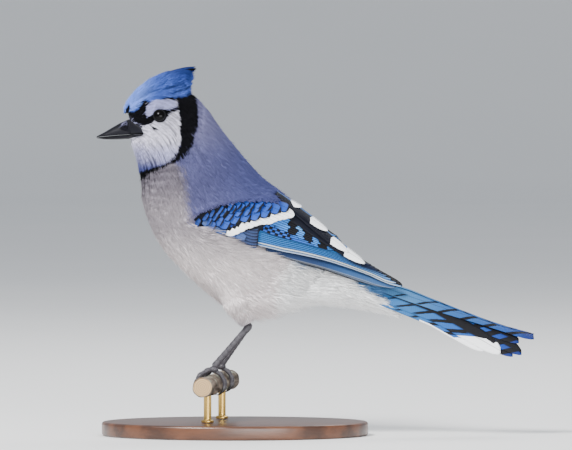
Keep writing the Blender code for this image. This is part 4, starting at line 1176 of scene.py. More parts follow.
def wing_primaries(sheet, rng):
    """The long outer flight feathers, each lower one tucked under the next."""
    shares = np.array((0.0, 0.13, 0.26, 0.39, 0.52, 0.66, 0.83, 1.0))
    count = len(shares)
    roots, tips = between(PRIMARY_ROOTS, shares), curve_points(PRIMARY_TIPS, shares)
    plumes = Plumes(np.hypot(*(tips - roots).T), np.full(count, 6.6), 34, 11)
    lifts = 3.0 - 0.6 * shares, 3.4 - 0.9 * shares
    plumes.lie_on(sheet, roots, tips, lifts, 1.5, -0.045, 0.1)
    grey, navy, cream = srgb(104, 138, 176), srgb(28, 38, 66), srgb(196, 200, 198)
    tint = plain(plumes, AZURE, rng, 0.07)
    tint = mixed(tint, grey, ease(plumes.from_root, 40, 80) * 0.6)
    tint = mixed(tint, navy, ease(-plumes.number, -5.4, -2.6) * ease(plumes.x, 58, 70))
    line = (plumes.number >= 6) * ease(-plumes.across, 0.7, 0.8)
    tint = mixed(tint, cream, line * (0.5 + 0.4 * (plumes.number == 6)))
    yield feather_arrays(plumes, tint, mark=(-9, -0.45, 0.5))
    count = 4
    shares = np.linspace(0, 1, count)
    roots, tips = between(LOW_PRIMARY_ROOTS, shares), curve_points(LOW_PRIMARY_TIPS, shares)
    plumes = Plumes(np.hypot(*(tips - roots).T), np.full(count, 7.0), 30, 9)
    lifts = 1.2 - 0.3 * shares, 1.8 - 0.9 * shares
    plumes.lie_on(sheet, roots, tips, lifts, 0.8, -0.02, 0.1)
    tint = mixed(plain(plumes, srgb(26, 62, 108), rng, 0.1), grey, ease(plumes.from_root, 20, 70) * 0.2)
    tint = mixed(tint, navy, ease(-plumes.from_root, -50, -26) * 0.7)
    tint = mixed(tint, cream, ease(-plumes.across, 0.78, 0.88) * 0.4)
    yield feather_arrays(plumes, tint, mark=(-9, 0.4, 0.4))


def wing_secondaries(sheet):
    """The barred feathers of the inner wing. The bars run across the line of BARS_LIE."""
    count = 11
    shares = np.linspace(0, 1, count)
    roots, tips = between(SECONDARY_ROOTS, shares), between(SECONDARY_TIPS, shares)
    plumes = Plumes(np.hypot(*(tips - roots).T), np.full(count, 6.6), 30, 9)
    lifts = 3.7 + 0.6 * shares, 3.9 + 0.7 * shares
    plumes.lie_on(sheet, roots, tips, lifts, 1.5, 0.0, 0.1)
    (start_x, start_z), (lie_x, lie_z) = BARS_START, BARS_LIE
    along = (plumes.x - start_x) * lie_x - (plumes.z - start_z) * lie_z
    over = (plumes.x - start_x) * lie_z + (plumes.z - start_z) * lie_x
    broad = over > -4.2
    small = along / 4.4 + 0.5 * (plumes.number % 2) + 0.5
    uneven = 0.07 * np.sin(plumes.number * 2.3) + 0.05 * np.sin(over * 1.7)
    phase = np.where(broad, along / 9.6 + 0.05 * over + uneven, small)
    strength = np.where(broad, ease(plumes.x, 27.5, 28.5), (plumes.x < 33) & (plumes.x > 14))
    bar = (phase + 0.5, np.where(broad, 0.6, 0.46), strength * (plumes.x < 58))
    upper = ease(over, -6, -2)
    tint = mixed(BLUE_MID, BLUE_DEEP, ease(-plumes.x, -34, -14) * 0.4)
    tint = mixed(tint, BLUE_BRIGHT, upper * 0.7)
    tint = mixed(tint, CYAN, ease(-abs(plumes.x - 36.5), -7, -2) * ease(over, -2, 4) * 0.75)
    tint = mixed(tint, AZURE, ease(plumes.x, 46, 56) * 0.6)
    return feather_arrays(plumes, tint, bar, (-9, -0.4, 0.5))


def wing_tertials(sheet, rng):
    table = np.array(TERTIALS)
    roots, tips, width, white = table[:, :2], table[:, 2:4], table[:, 4], table[:, 5]
    plumes = Plumes(np.hypot(*(tips - roots).T), width, 30, 11)
    lifts = (4.8, 5.3, 5.4, 3.0), 4.9 + 0.45 * np.arange(4)
    plumes.lie_on(sheet, roots, tips, lifts, 1.0, 0.01, 0.4)
    tint = mixed(plain(plumes, NAVY, rng, 0.1), srgb(96, 140, 205),
                 ease(plumes.across, 0.66, 0.8))
    depth = white[:, None, None] - plumes.from_tip - 1.5 * np.abs(plumes.across)
    return feather_arrays(plumes, tint, (0, 0, 0), (depth, 2, 0.0))


def wing_coverts(sheet, rng):
    """Rows of coverts, from the white-tipped greater ones to the small ones at the shoulder."""
    lines = np.array([curve_points(line, np.linspace(0, 1, 21)) for line in COVERT_LINES])
    for row, (share, count, length, width) in enumerate(COVERT_ROWS):
        places = (np.arange(count) + 0.25 + 0.5 * (row % 2) + rng.uniform(-0.08, 0.08, count)) / count
        first = min(int(share), 2)
        line = lines[first] + (lines[first + 1] - lines[first]) * (share - first)
        found = curve_points(line, places)
        tips = found[:, :2] + rng.normal(0, 0.15, (count, 2))
        lie = np.radians(-30 + 8 * places + 4 * rng.uniform(-1, 1, count))
        lengths = length * (1 + 0.08 * rng.uniform(-1, 1, count))
        roots = tips - np.stack((np.cos(lie), np.sin(lie)), 1) * lengths[:, None]
        plumes = Plumes(lengths, np.full(count, width), 18, 9)
        dive = (1.6, 3.0, 5.5, 6.5, 7.0)[row]
        lifts = found[:, 2] - dive, found[:, 2] + 0.2 + 0.12 * row
        plumes.lie_on(sheet, roots, tips, lifts, 0.5, 0.0, 0.35)
        front = ease(-plumes.x, 0, 16) * (row > 0)
        tint = plain(plumes, COVERT_BLUE, rng, 0.16)
        tint = mixed(tint, COVERT_LIGHT, 0.6 * ease(-plumes.from_tip, -7.0, -2.5))
        tint = mixed(tint, srgb(40, 62, 124), 0.8 * front)
        if row == 0:
            bar = ((plumes.from_tip - 6.0) / 6.0 + 0.5, 0.4, 1)
            yield feather_arrays(plumes, tint, bar, (5.0 - plumes.from_tip, 2, 0))
        else:
            yield feather_arrays(plumes, tint, mark=(-9, 0.8, 1.15 - 0.45 * front))


def primary_coverts(sheet, rng):
    """The dark feathers over the roots of the primaries, and the small thumb feathers over them."""
    count = 7
    shares = np.linspace(0, 1, count)
    tips = between(((14.0, 119.0), (13.0, 108.8)), shares)
    plumes = Plumes(np.full(count, 18.8), np.full(count, 5.0), 18, 7)
    lifts = 4.6 - 1.6 * shares**3, 5.2 - 1.2 * shares**2
    plumes.lie_on(sheet, tips - (17.5, -7.0), tips, lifts, 0.6, 0.0, 0.2)
    tint = mixed(plain(plumes, srgb(30, 36, 60), rng, 0.12), srgb(56, 78, 126),
                 ease(-plumes.across, 0.5, 0.75) * 0.6)
    yield feather_arrays(plumes, tint, mark=(-9, 2, 0.3))
    tips = np.array(((6.5, 113.2), (1.0, 114.8), (-4.5, 116.4)))
    plumes = Plumes(np.array((15.0, 13.0, 11.0)), np.full(3, 4.4), 16, 7)
    plumes.lie_on(sheet, tips - (13.4, -6.2), tips, (np.full(3, 4.4), np.full(3, 5.6)), 0.5, 0.0, 0.2)
    yield feather_arrays(plumes, plain(plumes, srgb(62, 84, 134), rng, 0.1), mark=(-9, 2, 0.35))


def wing_pad(sheet, rng):
    """The feathered arm under the coverts, one dark soft blade."""
    roots, tips = np.array(((-27.0, 123.0),)), np.array(((17.0, 121.0),))
    plumes = Plumes(np.array((44.0,)), np.array((15.0,)), 20, 11)
    plumes.lie_on(sheet, roots, tips, ((0.8,), (4.6,)), 0.0, -0.06, 1.2)
    plumes.top += plumes.normal * (1.5 * np.sin(math.pi * plumes.t))[None, :, None, None]
    return feather_arrays(plumes, plain(plumes, NAVY, rng, 0.0), thick=3.0)


def make_wings(sheet, body, finish):
    rng = np.random.default_rng(SEED + 3)
    quills = [*wing_primaries(sheet, rng), wing_secondaries(sheet), wing_tertials(sheet, rng)]
    arm = [wing_pad(sheet, rng), *primary_coverts(sheet, rng), *wing_coverts(sheet, rng)]
    for side, sign in SIDES:
        feather_piece("quills_" + side, quills, body, sign, finish, "wing_feathers",
                      "wing_primaries_" + side, "wing_secondaries_" + side)
        feather_piece("coverts_" + side, arm, body, sign, finish, "wing_feathers",
                      "wing_arm_" + side)


# Tail

# Rings of the soft feathers over the tail's root, as those of the body
TAIL_COVER = (
    (22, 71.5, 48, 97, 12.6), (34, 73.5, 56, 97.5, 14.2), (48, 75, 67, 94.5, 13.8),
    (60, 74, 77, 90, 11.8),
    (72, 72.4, 86, 85.6, 9.8), (84, 70.2, 96, 81, 8.4), (96, 67.5, 107, 77, 7.6),
)
TAIL_RIDGE = (
    (56, 94), (80, 86.8), (92, 83), (99.8, 80.4), (109.4, 76.4), (123.3, 71), (138.9, 64.8),
    (152.7, 60), (172, 55), (180, 52.5),
)
# Shaft's root, middle and tip in side view, widths of the outer and the inner vane, lift, first
# bar's x, spacing of the bars along x, dark share of it, slant, and x where the white starts. The
# outermost feather has a white edge too
NO_WHITE, OUTERMOST_WHITE = 999, 134
TAIL_FEATHERS = (
    ((62, 89.5), (110, 70), (158, 46.2), 3.6, 7.2, 0.3, 154, 8.5, 0.42, 1.4, NO_WHITE),
    ((61, 91), (112, 71), (163, 47), 3.6, 7.2, 0.7, 159, 8.5, 0.42, 1.4, NO_WHITE),
    ((60, 92.5), (114, 71.5), (161.5, 53.2), 3.6, 7.2, 1.1, 158, 9.5, 0.42, 1.4, NO_WHITE),
    ((64, 86.5), (110, 67.8), (142, 50.0), 5.2, 6.0, 1.5, 128.5, 9.4, 0.36, 2.0, OUTERMOST_WHITE),
    ((62, 89), (113, 69), (150.8, 48.0), 5.4, 7.0, 1.9, 132, 10.3, 0.36, 2.0, 137),
    ((58, 92.6), (116, 71.8), (169.8, 54), 3.2, 5.6, 2.3, 161.9, 13.1, 0.22, 1.9, NO_WHITE),
)
RIDGE_OVERLAP = 3.0
TAIL_TIP = srgb(20, 40, 104)


class Roof:
    """The tail's left slope: a ridge line, and a curve that falls from it ever more steeply."""

    def __init__(self):
        self.ridge = np.array(TAIL_RIDGE)
        self.arc = np.linspace(0, 34, 200)
        pitch = np.radians(26 + 48 * (1 - np.exp(-self.arc / 7.0)))
        step = self.arc[1]
        self.out = 0.7 + np.concatenate(([0], np.cumsum(np.cos(pitch[:-1]) * step)))
        self.down = np.concatenate(([0], np.cumsum(np.sin(pitch[:-1]) * step)))

    def top(self, x):
        return np.interp(x, self.ridge[:, 0], self.ridge[:, 1])

    def flat(self, x, s):
        """The roof's point at x and at a slope length s from the ridge, past it where s < 0."""
        spread = np.interp(x, (60.0, 100.0, 150.0), (0.62, 0.85, 1.0))
        y = np.where(s < 0, -self.out[0] * spread - s, -np.interp(s, self.arc, self.out) * spread)
        fall = np.where(s < 0, -0.1 * s, np.interp(s, self.arc, self.down))
        return np.stack((np.broadcast_to(x, y.shape), y, self.top(x) - fall), -1)

    def slope(self, x, z):
        return np.interp(self.top(x) - z, self.down, self.arc)

    def point(self, x, s, lift):
        around = self.flat(x, s + 0.2) - self.flat(x, s - 0.2)
        along = self.flat(x + 1.0, s) - self.flat(x - 1.0, s)
        normal = unit(np.cross(along, -around))
        return self.flat(x, s) + normal * lift[..., None], normal


def tail_feather(roof, row, rng, over_ridge=False):
    (x0, z0), (x1, z1), (x2, z2), outer, inner, lift, bar_x, period, dark, slant, white = row
    length = math.hypot(x2 - x0, z2 - z0)
    plumes = Plumes(np.array((length,)), np.array((2.0,)), 40, 11)
    x = x0 + (x2 - x0) * plumes.t
    z = np.interp(plumes.t, (0, (x1 - x0) / (x2 - x0), 1), (z0, z1, z2))
    share = outline_share(plumes.t, 0.45, 0.86)[:, None]
    shaft = roof.slope(x, z)[:, None]
    s = plumes.s[None, :]
    off = np.where(s < 0, s * outer, s * inner) * share
    reach = shaft - off
    if over_ridge:
        cross = np.minimum(shaft, inner)
        reach = np.where(s > 0, shaft - s * (cross + RIDGE_OVERLAP * share), reach)
    else:
        reach = np.maximum(reach, 0.02)
    lifts = lift + 0.3 * (1 - s**2) - 0.15 * s + (0.35 if over_ridge else 0)
    plumes.top, plumes.normal = roof.point(np.broadcast_to(x[:, None], reach.shape), reach, lifts)
    plumes.top, plumes.normal = plumes.top[None], plumes.normal[None]
    middle = lift > 2.0
    light, mid, deep = srgb(42, 98, 152), srgb(31, 84, 156), srgb(20, 54, 130)
    if middle:
        light, mid, deep = srgb(62, 110, 154), srgb(40, 88, 146), srgb(26, 64, 134)
    tint = mixed(light, mid, ease(plumes.from_root, 40, 72))
    tint = mixed(tint, deep, ease(plumes.from_root, 72, length - 6))
    tint = mixed(tint, TAIL_TIP, ease(-plumes.from_tip, -12, -4) * (white == NO_WHITE))
    tint = tint * (1 + 0.03 * rng.normal())
    even = plumes.x - slant * off[None]
    phase = (even - bar_x) / period + 0.5
    short = ease(-abs(plumes.across + 0.4), -0.52, -0.38)
    strength = ease(plumes.from_root, 24, 30) * (short + (1 - short) * ease(plumes.x, 98, 116))
    depth = np.minimum(even - white, 9)
    wedge = 2.0 if middle else 0.04
    if white == OUTERMOST_WHITE:
        edge = (-plumes.across - 0.84) * 5
        depth = np.maximum(depth, np.where(plumes.x > 105, edge, -9))
    else:
        depth = np.minimum(depth, (0.35 - plumes.across) * 9 + np.maximum(4 - plumes.from_tip, 0) * 3)
        strength = strength * ease(-depth, -0.5, 1.0)
    dark = dark * (0.5 + 0.75 * ease(plumes.x, 80, 140))
    return feather_arrays(plumes, tint, (phase, dark, strength), (depth, wedge, 0))


def make_tail_cover(finish):
    """Soft feathers over the tail's root, blue above and white below."""
    rng = np.random.default_rng(SEED + 6)
    form = Form(TAIL_COVER)
    r, angle = scatter(form, 9000, 0.2, 5.9, lambda x, z: 0.25 + 0.75 * (x < 84))
    place = form.surface(r, angle)
    x, z = place[:, 0], place[:, 2]
    count = len(r)
    blue = ease(z - 2.4 - along_table(WHITE_TOP, x + 5.4) + rng.normal(0, 0.8, count), -1.0, 1.0)
    stay = (blue < 0.5) | (x < 78)
    stay &= (blue > 0.5) | (x < 90)
    clump = streaks(rng, r, angle, 1.2, 60)
    colours = blend(VENT_WHITE, REAR_BLUE, blue)
    colours = jittered(colours[:, :3], rng, 0.08) * (1 + 0.14 * clump)[:, None]
    lengths = random_sizes(rng, count, 9.0, 0.3)
    widths = random_sizes(rng, count, 0.62, 0.3)
    loose = (rng.random(count) < 0.2) * rng.uniform(0.5, 2.0, count)
    lifts = np.stack((np.full(count, -0.6), 0.3 + 0.4 * clump + loose), 1)
    sway = rng.normal(0, 0.1, count)
    keep(strands("coat_tail_root", form, (r[stay], angle[stay]), lengths[stay], widths[stay],
                 lifts[stay], colours[stay], finish, sway[stay], body=False, stations=2),
         "tail_feathers")


def make_tail(body, finish):
    roof = Roof()
    rng = np.random.default_rng(SEED + 4)
    batches = [tail_feather(roof, row, rng) for row in TAIL_FEATHERS]
    crossing = [tail_feather(roof, TAIL_FEATHERS[-1], rng, True)]
    feather_piece("tail_right", batches[:-1] + crossing, body, 1, finish, "tail_feathers",
                  "tail")
    feather_piece("tail_left", batches, body, -1, finish, "tail_feathers")


# Bill and eyes


def make_bill(body, finish):
    """Two halves of horn, whose roots run back over the cheek to the corner of the mouth."""
    rows = np.array((*BILL_CORNER, *BILL_ROWS))

    def half(upper):
        def place(along, turn):
            back = rows[0, 0] + along * (rows[-1, 0] - rows[0, 0])
            culmen, mouth, keel, wide = (np.interp(back, rows[:, 0], rows[:, k]) for k in range(1, 5))
            up, out = np.maximum(np.sin(turn), 0), np.cos(turn)
            if upper:
                z = mouth + 0.12 + (culmen - mouth) * up**0.85
            else:
                z = mouth - 0.12 - (mouth - keel) * up**0.8
                wide = wide * 0.92
            x = BILL_ROOT - back
            face = body.surface(*body.side(x + 0.01, z))
            cheek = (np.abs(face[:, 1]) + 0.35) * np.abs(out) ** 0.12 * ease(-back, -3.0, 0.3)
            closed = np.where((along < 1e-4) | (along > 1 - 1e-4), 0, 1)
            y = np.sign(out) * np.maximum(wide * np.abs(out), cheek) * closed
            return np.stack((x, y, z), 1)

        return place

    for name, upper in (("bill_upper", True), ("bill_lower", False)):
        piece = wrapped(name + "_horn", 64, 70, half(upper), finish)
        bpy.ops.object.shade_smooth_by_angle(angle=math.radians(50))
        keep(piece, "bill_horn", name)


def bill_finish():
    finish = Finish("horn", 0.46, Specular_IOR_Level=0.1)
    x, _, z = finish.parts(finish.position())
    grain = finish.noise(260.0, 4.0, finish.stretch(finish.position(), (0.25, 1.0, 1.6)))
    nostril = ((x + 0.0640) * 900.0) ** 2.0 + ((z - 0.1758) * 1900.0) ** 2.0
    colour = finish.mix(grain, srgb(7, 7, 10), srgb(29, 29, 36))
    colour = finish.mix(nostril.step(1.3, 0.7), colour, srgb(6, 6, 8))
    colour = finish.mix((x + 0.0772).step(0.0, -0.0018) * 0.4, colour, srgb(96, 92, 90))
    # Painted shade along the groove between the bill's halves, over the lower half's lit edge
    mouth = abs(z - 0.1716 - (x + 0.0606) * 0.087)
    colour = finish.mix(mouth.step(0.0007, 0.0003), colour, srgb(3, 3, 4))
    finish.colour(colour)
    finish.bump(grain, 0.0002, 0.4)
    return finish


def make_bristles(finish):
    """Short black feathers that lie forward over the root of the bill and the nostrils."""
    rng = np.random.default_rng(SEED + 5)
    rings = [(BILL_ROOT + 0.8 - b, k, BILL_ROOT + 0.8 - b - 0.01, c, w * 1.05)
             for b, c, _, k, w in (*BILL_CORNER[2:], *BILL_ROWS)]
    form = Form(rings)
    r, angle = scatter(form, 1500, 0.0, 2.7, lambda x, z: (z > 174.6 - 0.5 * (x + 60)).astype(float))
    count = len(r)
    lengths = random_sizes(rng, count, 3.4, 0.4)
    lifts = np.stack((np.full(count, -0.3), random_sizes(rng, count, 0.5, 0.7)), 1)
    z = form.surface(r, angle)[:, 2]
    pale = ease(z + rng.normal(0, 0.6, count), 176.6, 178.4) * (rng.random(count) < 0.7)
    colours = jittered(blend(srgb(24, 24, 32), srgb(150, 150, 188), pale)[:, :3], rng, 0.2)
    keep(strands("bristles", form, (r, angle), lengths, random_sizes(rng, count, 0.4, 0.3), lifts,
                 colours, finish, rng.normal(0, 0.08, count), body=False), "face_feathers")


def make_eyes(body):
    eye = Finish("eye_gloss", 0.08, Specular_IOR_Level=0.1)
    lid = Finish("eye_rim", 0.6, Specular_IOR_Level=0.15)
    lid.bump(lid.mottle(1500.0, 2.0, srgb(5, 5, 7), srgb(17, 17, 20)), 0.0001, 0.5)
    r, angle = body.side(np.array((EYE_X,)), np.array((EYE_Z,)))
    surface = body.surface(r, angle)[0]
    outer = body.normal(r, angle)[0]
    for side, sign in SIDES:
        mirror = np.array((1, -sign, 1))
        face = outer * mirror
        centre = (surface + outer * (EYE_PROUD - EYE_RADIUS)) * mirror
        eye_ball = wrapped("eye_ball_" + side, 48, 32, ball_place(centre, EYE_RADIUS), eye)
        keep(eye_ball, "eye", "eye_" + side)
        right = unit(np.cross((0, 0, 1), face))
        up = np.cross(face, right)
        deselect()
        bpy.ops.mesh.primitive_torus_add(major_segments=56, minor_segments=12, major_radius=1,
                                         minor_radius=0.5)
        ring = bpy.context.object
        ring.name = "eye_lids_" + side
        flat = read_places(ring).astype(float)
        turn = np.arctan2(flat[:, 1], flat[:, 0])
        out = np.hypot(flat[:, 0], flat[:, 1]) - 1.0
        reach = LID_RADIUS + out * LID_WIDTH
        places = (
            surface * mirror + face * (0.55 + flat[:, 2:] * 0.8 - 0.5 * out[:, None])
            + right * (np.cos(turn) * reach * 1.04)[:, None]
            + up * (np.sin(turn) * reach * 0.97)[:, None]
        )
        move_points(ring, places)
        ring.data.materials.append(lid.material)
        keep(ring, "eye")
    eye.mottle(300.0, 2.0, srgb(3, 3, 4), srgb(9, 7, 7))


def ball_place(centre, radius):
    def place(along, turn):
        tilt = along * math.pi
        flat = np.sin(tilt)
        points = np.stack((flat * np.cos(turn), flat * np.sin(turn), np.cos(tilt)), 1)
        return centre + points * radius

    return place


# Legs and feet

FOOT_SPREAD = 11.5
ANKLE = (8.0, 62.5)
THIGH_TOP = (-4.0, 13.0, 86.0)
THIGH_RADII = ((0.0, 3.5), (0.15, 6.4), (0.32, 7.8), (0.5, 7.5), (0.72, 5.7), (0.88, 4.1), (1.0, 3.1))
THIGH_BLEND = 7.0
PERCH_X, PERCH_Z, PERCH_RADIUS = -11.5, 29.5, 6.0
PERCH_TURN = math.radians(10.0)
PERCH_NEAR, PERCH_FAR = -38.0, 48.0
GAP = 0.35
TARSUS_TOP_RADIUS, TARSUS_RADIUS = 2.3, 1.75
SCUTES = 8
TOE_RADIUS = 1.45
TOE_REACH = {"inner": (38, 105), "middle": (8, 128), "outer": (-30, 105), "hind": (180, 100)}
CLAW_TURN = 42.0
CLAW_RADIUS = 1.15


class Limb:
    """A round form along a path. Rings are the path's points."""

    def __init__(self, path, radii, beside=(0.0, 1.0, 0.0)):
        self.path = np.array(path, float)
        self.radii = np.array(radii, float)
        self.last = len(path) - 1
        self.beside = np.array(beside)

    def centre(self, r):
        return np.stack([np.interp(r, np.arange(self.last + 1), c) for c in self.path.T], -1)

    def surface(self, r, angle, lift=0.0):
        r = np.clip(r, 0, self.last)
        axis = unit(self.centre(r + 0.3) - self.centre(r - 0.3))
        first = unit(np.cross(axis, self.beside))
        second = np.cross(axis, first)
        radius = np.interp(r, np.arange(self.last + 1), self.radii) + lift
        ring = first * np.cos(angle)[..., None] + second * np.sin(angle)[..., None]
        return self.centre(r) + ring * radius[..., None]

    slopes = Form.slopes

    def normal(self, r, angle):
        return unit(self.surface(r, angle) - self.centre(np.clip(r, 0, self.last)))

    def place(self, lift=0.0, cap=0.05, flat=False):
        """How a ball's points are drawn out over the limb, with round or flat ends."""

        def where(along, turn):
            body = np.clip((along - cap) / (1 - 2 * cap), 0, 1)
            edge = np.clip(np.minimum(along, 1 - along) / cap, 0, 1)
            share = edge if flat else np.sqrt(1 - (1 - edge) ** 2)
            r = body * self.last
            ring = self.surface(r, turn, lift)
            centre = self.centre(r)
            points = centre + (ring - centre) * share[:, None]
            if not flat:
                axis = unit(self.centre(r + 0.3) - self.centre(r - 0.3))
                out = np.linalg.norm(ring - centre, axis=-1) * (1 - edge) * 0.8
                points = points + axis * (out * np.where(along < 0.5, -1, 1))[:, None]
            return points

        return where


def thigh_ends(sign):
    top = np.array((THIGH_TOP[0], sign * THIGH_TOP[1], THIGH_TOP[2]))
    return top, np.array((ANKLE[0] - 0.8, sign * FOOT_SPREAD, ANKLE[1] + 1.8))


def thigh_limb(sign):
    top, end = thigh_ends(sign)
    shares = np.linspace(0, 1, 13)
    path = top + (end - top) * shares[:, None]
    return Limb(path, along_table(THIGH_RADII, shares))


def perch_centre(y):
    """The branch's centre line at a distance y from the midline, in millimetres."""
    wave = 0.8 * math.sin(y / 16.0)
    return np.array((PERCH_X + y * math.tan(PERCH_TURN), y, PERCH_Z + wave * 0.6))


def foot_root(sign):
    return perch_centre(sign * FOOT_SPREAD) + (1.5, 0, PERCH_RADIUS + 3.2)


def toe_point(sign, toe, turn, lift):
    """A point on a toe's line, which leaves the foot's root and wraps round the branch."""
    aim, _ = TOE_REACH[toe]
    forward = math.cos(math.radians(aim)) >= 0
    slant = math.sin(math.radians(aim)) * sign * -1
    y = sign * FOOT_SPREAD + slant * 7.0 * min(turn / 45.0, 1.0)
    bend = math.radians(turn)
    reach = PERCH_RADIUS + lift
    way = -1 if forward else 1
    return perch_centre(y) + (way * reach * math.sin(bend), 0, reach * math.cos(bend))


def horn_finish():
    finish = Finish("claw_horn", 0.3, Specular_IOR_Level=0.5)
    finish.bump(finish.mottle(900.0, 3.0, srgb(24, 24, 27), srgb(58, 56, 58)), 0.0001, 0.3)
    return finish


def leg_finish():
    """Dark grey horny skin with small scales."""
    finish = Finish("leg_skin", 0.42, Specular_IOR_Level=0.5)
    position = finish.position()
    cells = finish.add("ShaderNodeTexVoronoi", {"feature": "DISTANCE_TO_EDGE"},
                       {"Vector": position, "Scale": 1100.0})
    patches = finish.noise(240.0, 4.0)
    colour = finish.mix(patches, srgb(36, 34, 40), srgb(84, 80, 86))
    finish.colour(finish.mix(cells.step(0.10, 0.0) * 0.5, colour, srgb(30, 30, 34)))
    finish.bump(cells.step(0.0, 0.2), 0.0002, 0.6)
    return finish


def make_legs(leg, horn):
    for side, sign in SIDES:
        top = np.array((ANKLE[0], sign * FOOT_SPREAD, ANKLE[1]))
        end = foot_root(sign) + (0.8, 0, 1.9)
        path, radii = [], []
        for k in range(SCUTES):
            for t, bulge in ((0.03, 0.0), (0.3, 0.12), (0.8, 0.2), (0.97, 0.12)):
                share = (k + t) / SCUTES
                path.append(top + (end - top) * share)
                knob = math.exp(-(share**2) / 0.006) * 0.45 + 0.25 * share**6
                radii.append(TARSUS_RADIUS + (TARSUS_TOP_RADIUS - TARSUS_RADIUS) * knob + bulge)
        tarsus = wrapped("shank_" + side, 24, 90, Limb(path, radii).place(), leg)
        keep(tarsus, "leg_scale", "tarsus_" + side)
        pieces = [wrapped("foot_pad_" + side, 24, 16, ball_place(foot_root(sign) - (0, 0, 0.2),
                                                               np.array((2.7, 2.3, 2.0))), leg)]
        for name, (_, reach) in TOE_REACH.items():
            turns = np.linspace(2.0, reach, 25)
            share = np.linspace(0, 1, 25)
            radii = TOE_RADIUS * (1.0 - 0.2 * share) * (1 + 0.08 * np.sin(share * 6 * math.pi))
            radii = radii * (1 + 0.035 * np.sin(share * 34 * math.pi))
            path = [toe_point(sign, name, turn, radius + GAP + 0.15 + 0.9 / (1 + 6 * along))
                    for turn, radius, along in zip(turns, radii, share)]
            pieces.append(wrapped(f"toe_{name}_{side}", 20, 60, Limb(path, radii).place(), leg))
            share = np.linspace(0, 1, 13)
            turns = reach + 5.0 + (CLAW_TURN + 2.0) * share
            radii = CLAW_RADIUS * (1 - 0.86 * share**1.2)
            path = [toe_point(sign, name, turn, radius + 0.5) for turn, radius in zip(turns, radii)]
            claw = wrapped(f"claw_tip_{name}_{side}", 18, 30, Limb(path, radii).place(), horn)
            keep(claw, "bill_horn", f"claw_{name}_{side}")
        deselect()
        for piece in pieces:
            piece.select_set(True)
        bpy.context.view_layer.objects.active = pieces[0]
        bpy.ops.object.join()
        pieces[0].name = "toes_" + side
        keep(pieces[0], "leg_scale", "foot_" + side)


# Branch and stand

ROD_SPACING = 44.0
BASE_SIZE = (152.0, 112.0, 8.0)


def bark_finish():
    """Grey-brown bark with cracks, flecks of lichen and pale sawn ends."""
    finish = Finish("bark", 0.85, Specular_IOR_Level=0.2)
    position = finish.position()
    x, y, z = finish.parts(position)
    furrows = finish.noise(150.0, 6.0, finish.stretch(position, (1.6, 0.35, 1.6)))
    lichen = finish.noise(85.0, 5.0).step(0.56, 0.62)
    flakes = finish.noise(700.0, 3.0)
    colour = finish.mix(furrows.step(0.35, 0.65), srgb(62, 52, 44), srgb(140, 126, 112))
    colour = finish.mix(lichen * (0.5 + 0.5 * flakes), colour, srgb(172, 178, 160))
    middle = x - PERCH_X * MM - y * math.tan(PERCH_TURN)
    out = ((middle * middle + (z - PERCH_Z * MM) * (z - PERCH_Z * MM)) ** 0.5) * 1000.0
    rings = (out * 5.5 + furrows * 2.0).sine()
    wood = finish.mix(0.5 + 0.5 * rings, srgb(196, 168, 128), srgb(160, 128, 90))
    turn = PERCH_TURN
    along = y * math.cos(turn) + (x - PERCH_X * MM) * math.sin(turn)
    middle_y, half = (PERCH_NEAR + PERCH_FAR) / 2, (PERCH_FAR - PERCH_NEAR) / 2
    ends = abs(along * 1000.0 - middle_y / math.cos(turn)) - half / math.cos(turn)
    sawn = ends.step(-0.2, -0.1)
    face = sawn * out.step(5.6, 5.3)
    finish.colour(finish.mix(face, colour, wood))
    finish.bump(furrows * (1.0 - face) + lichen * 0.3, 0.0012, 0.8)
    return finish


def make_perch(finish):
    ys = np.linspace(PERCH_NEAR, PERCH_FAR, 60)
    radii = PERCH_RADIUS - 0.1 + 0.1 * np.sin(ys / 9.0)
    limb = Limb([perch_centre(y) for y in ys], radii, (1.0, 0.0, 0.0))
    base = limb.place(cap=0.04, flat=True)

    def place(along, turn):
        points = base(along, turn)
        y = points[:, 1]
        rough = (0.12 * np.sin(3 * turn + y / 5) + 0.09 * np.sin(7 * turn - y / 3.1)
                 + 0.07 * np.sin(y / 1.7 + 2 * turn))
        centre = np.stack([perch_centre(value) for value in y])
        near = np.clip(np.minimum(along, 1 - along) / 0.04, 0, 1)
        away = unit((points - centre) * (1, 0, 1))
        return points + away * ((rough - 0.28) * near)[:, None]

    piece = wrapped("branch", 56, 120, place, finish)
    keep(piece, "branch_bark", "perch")


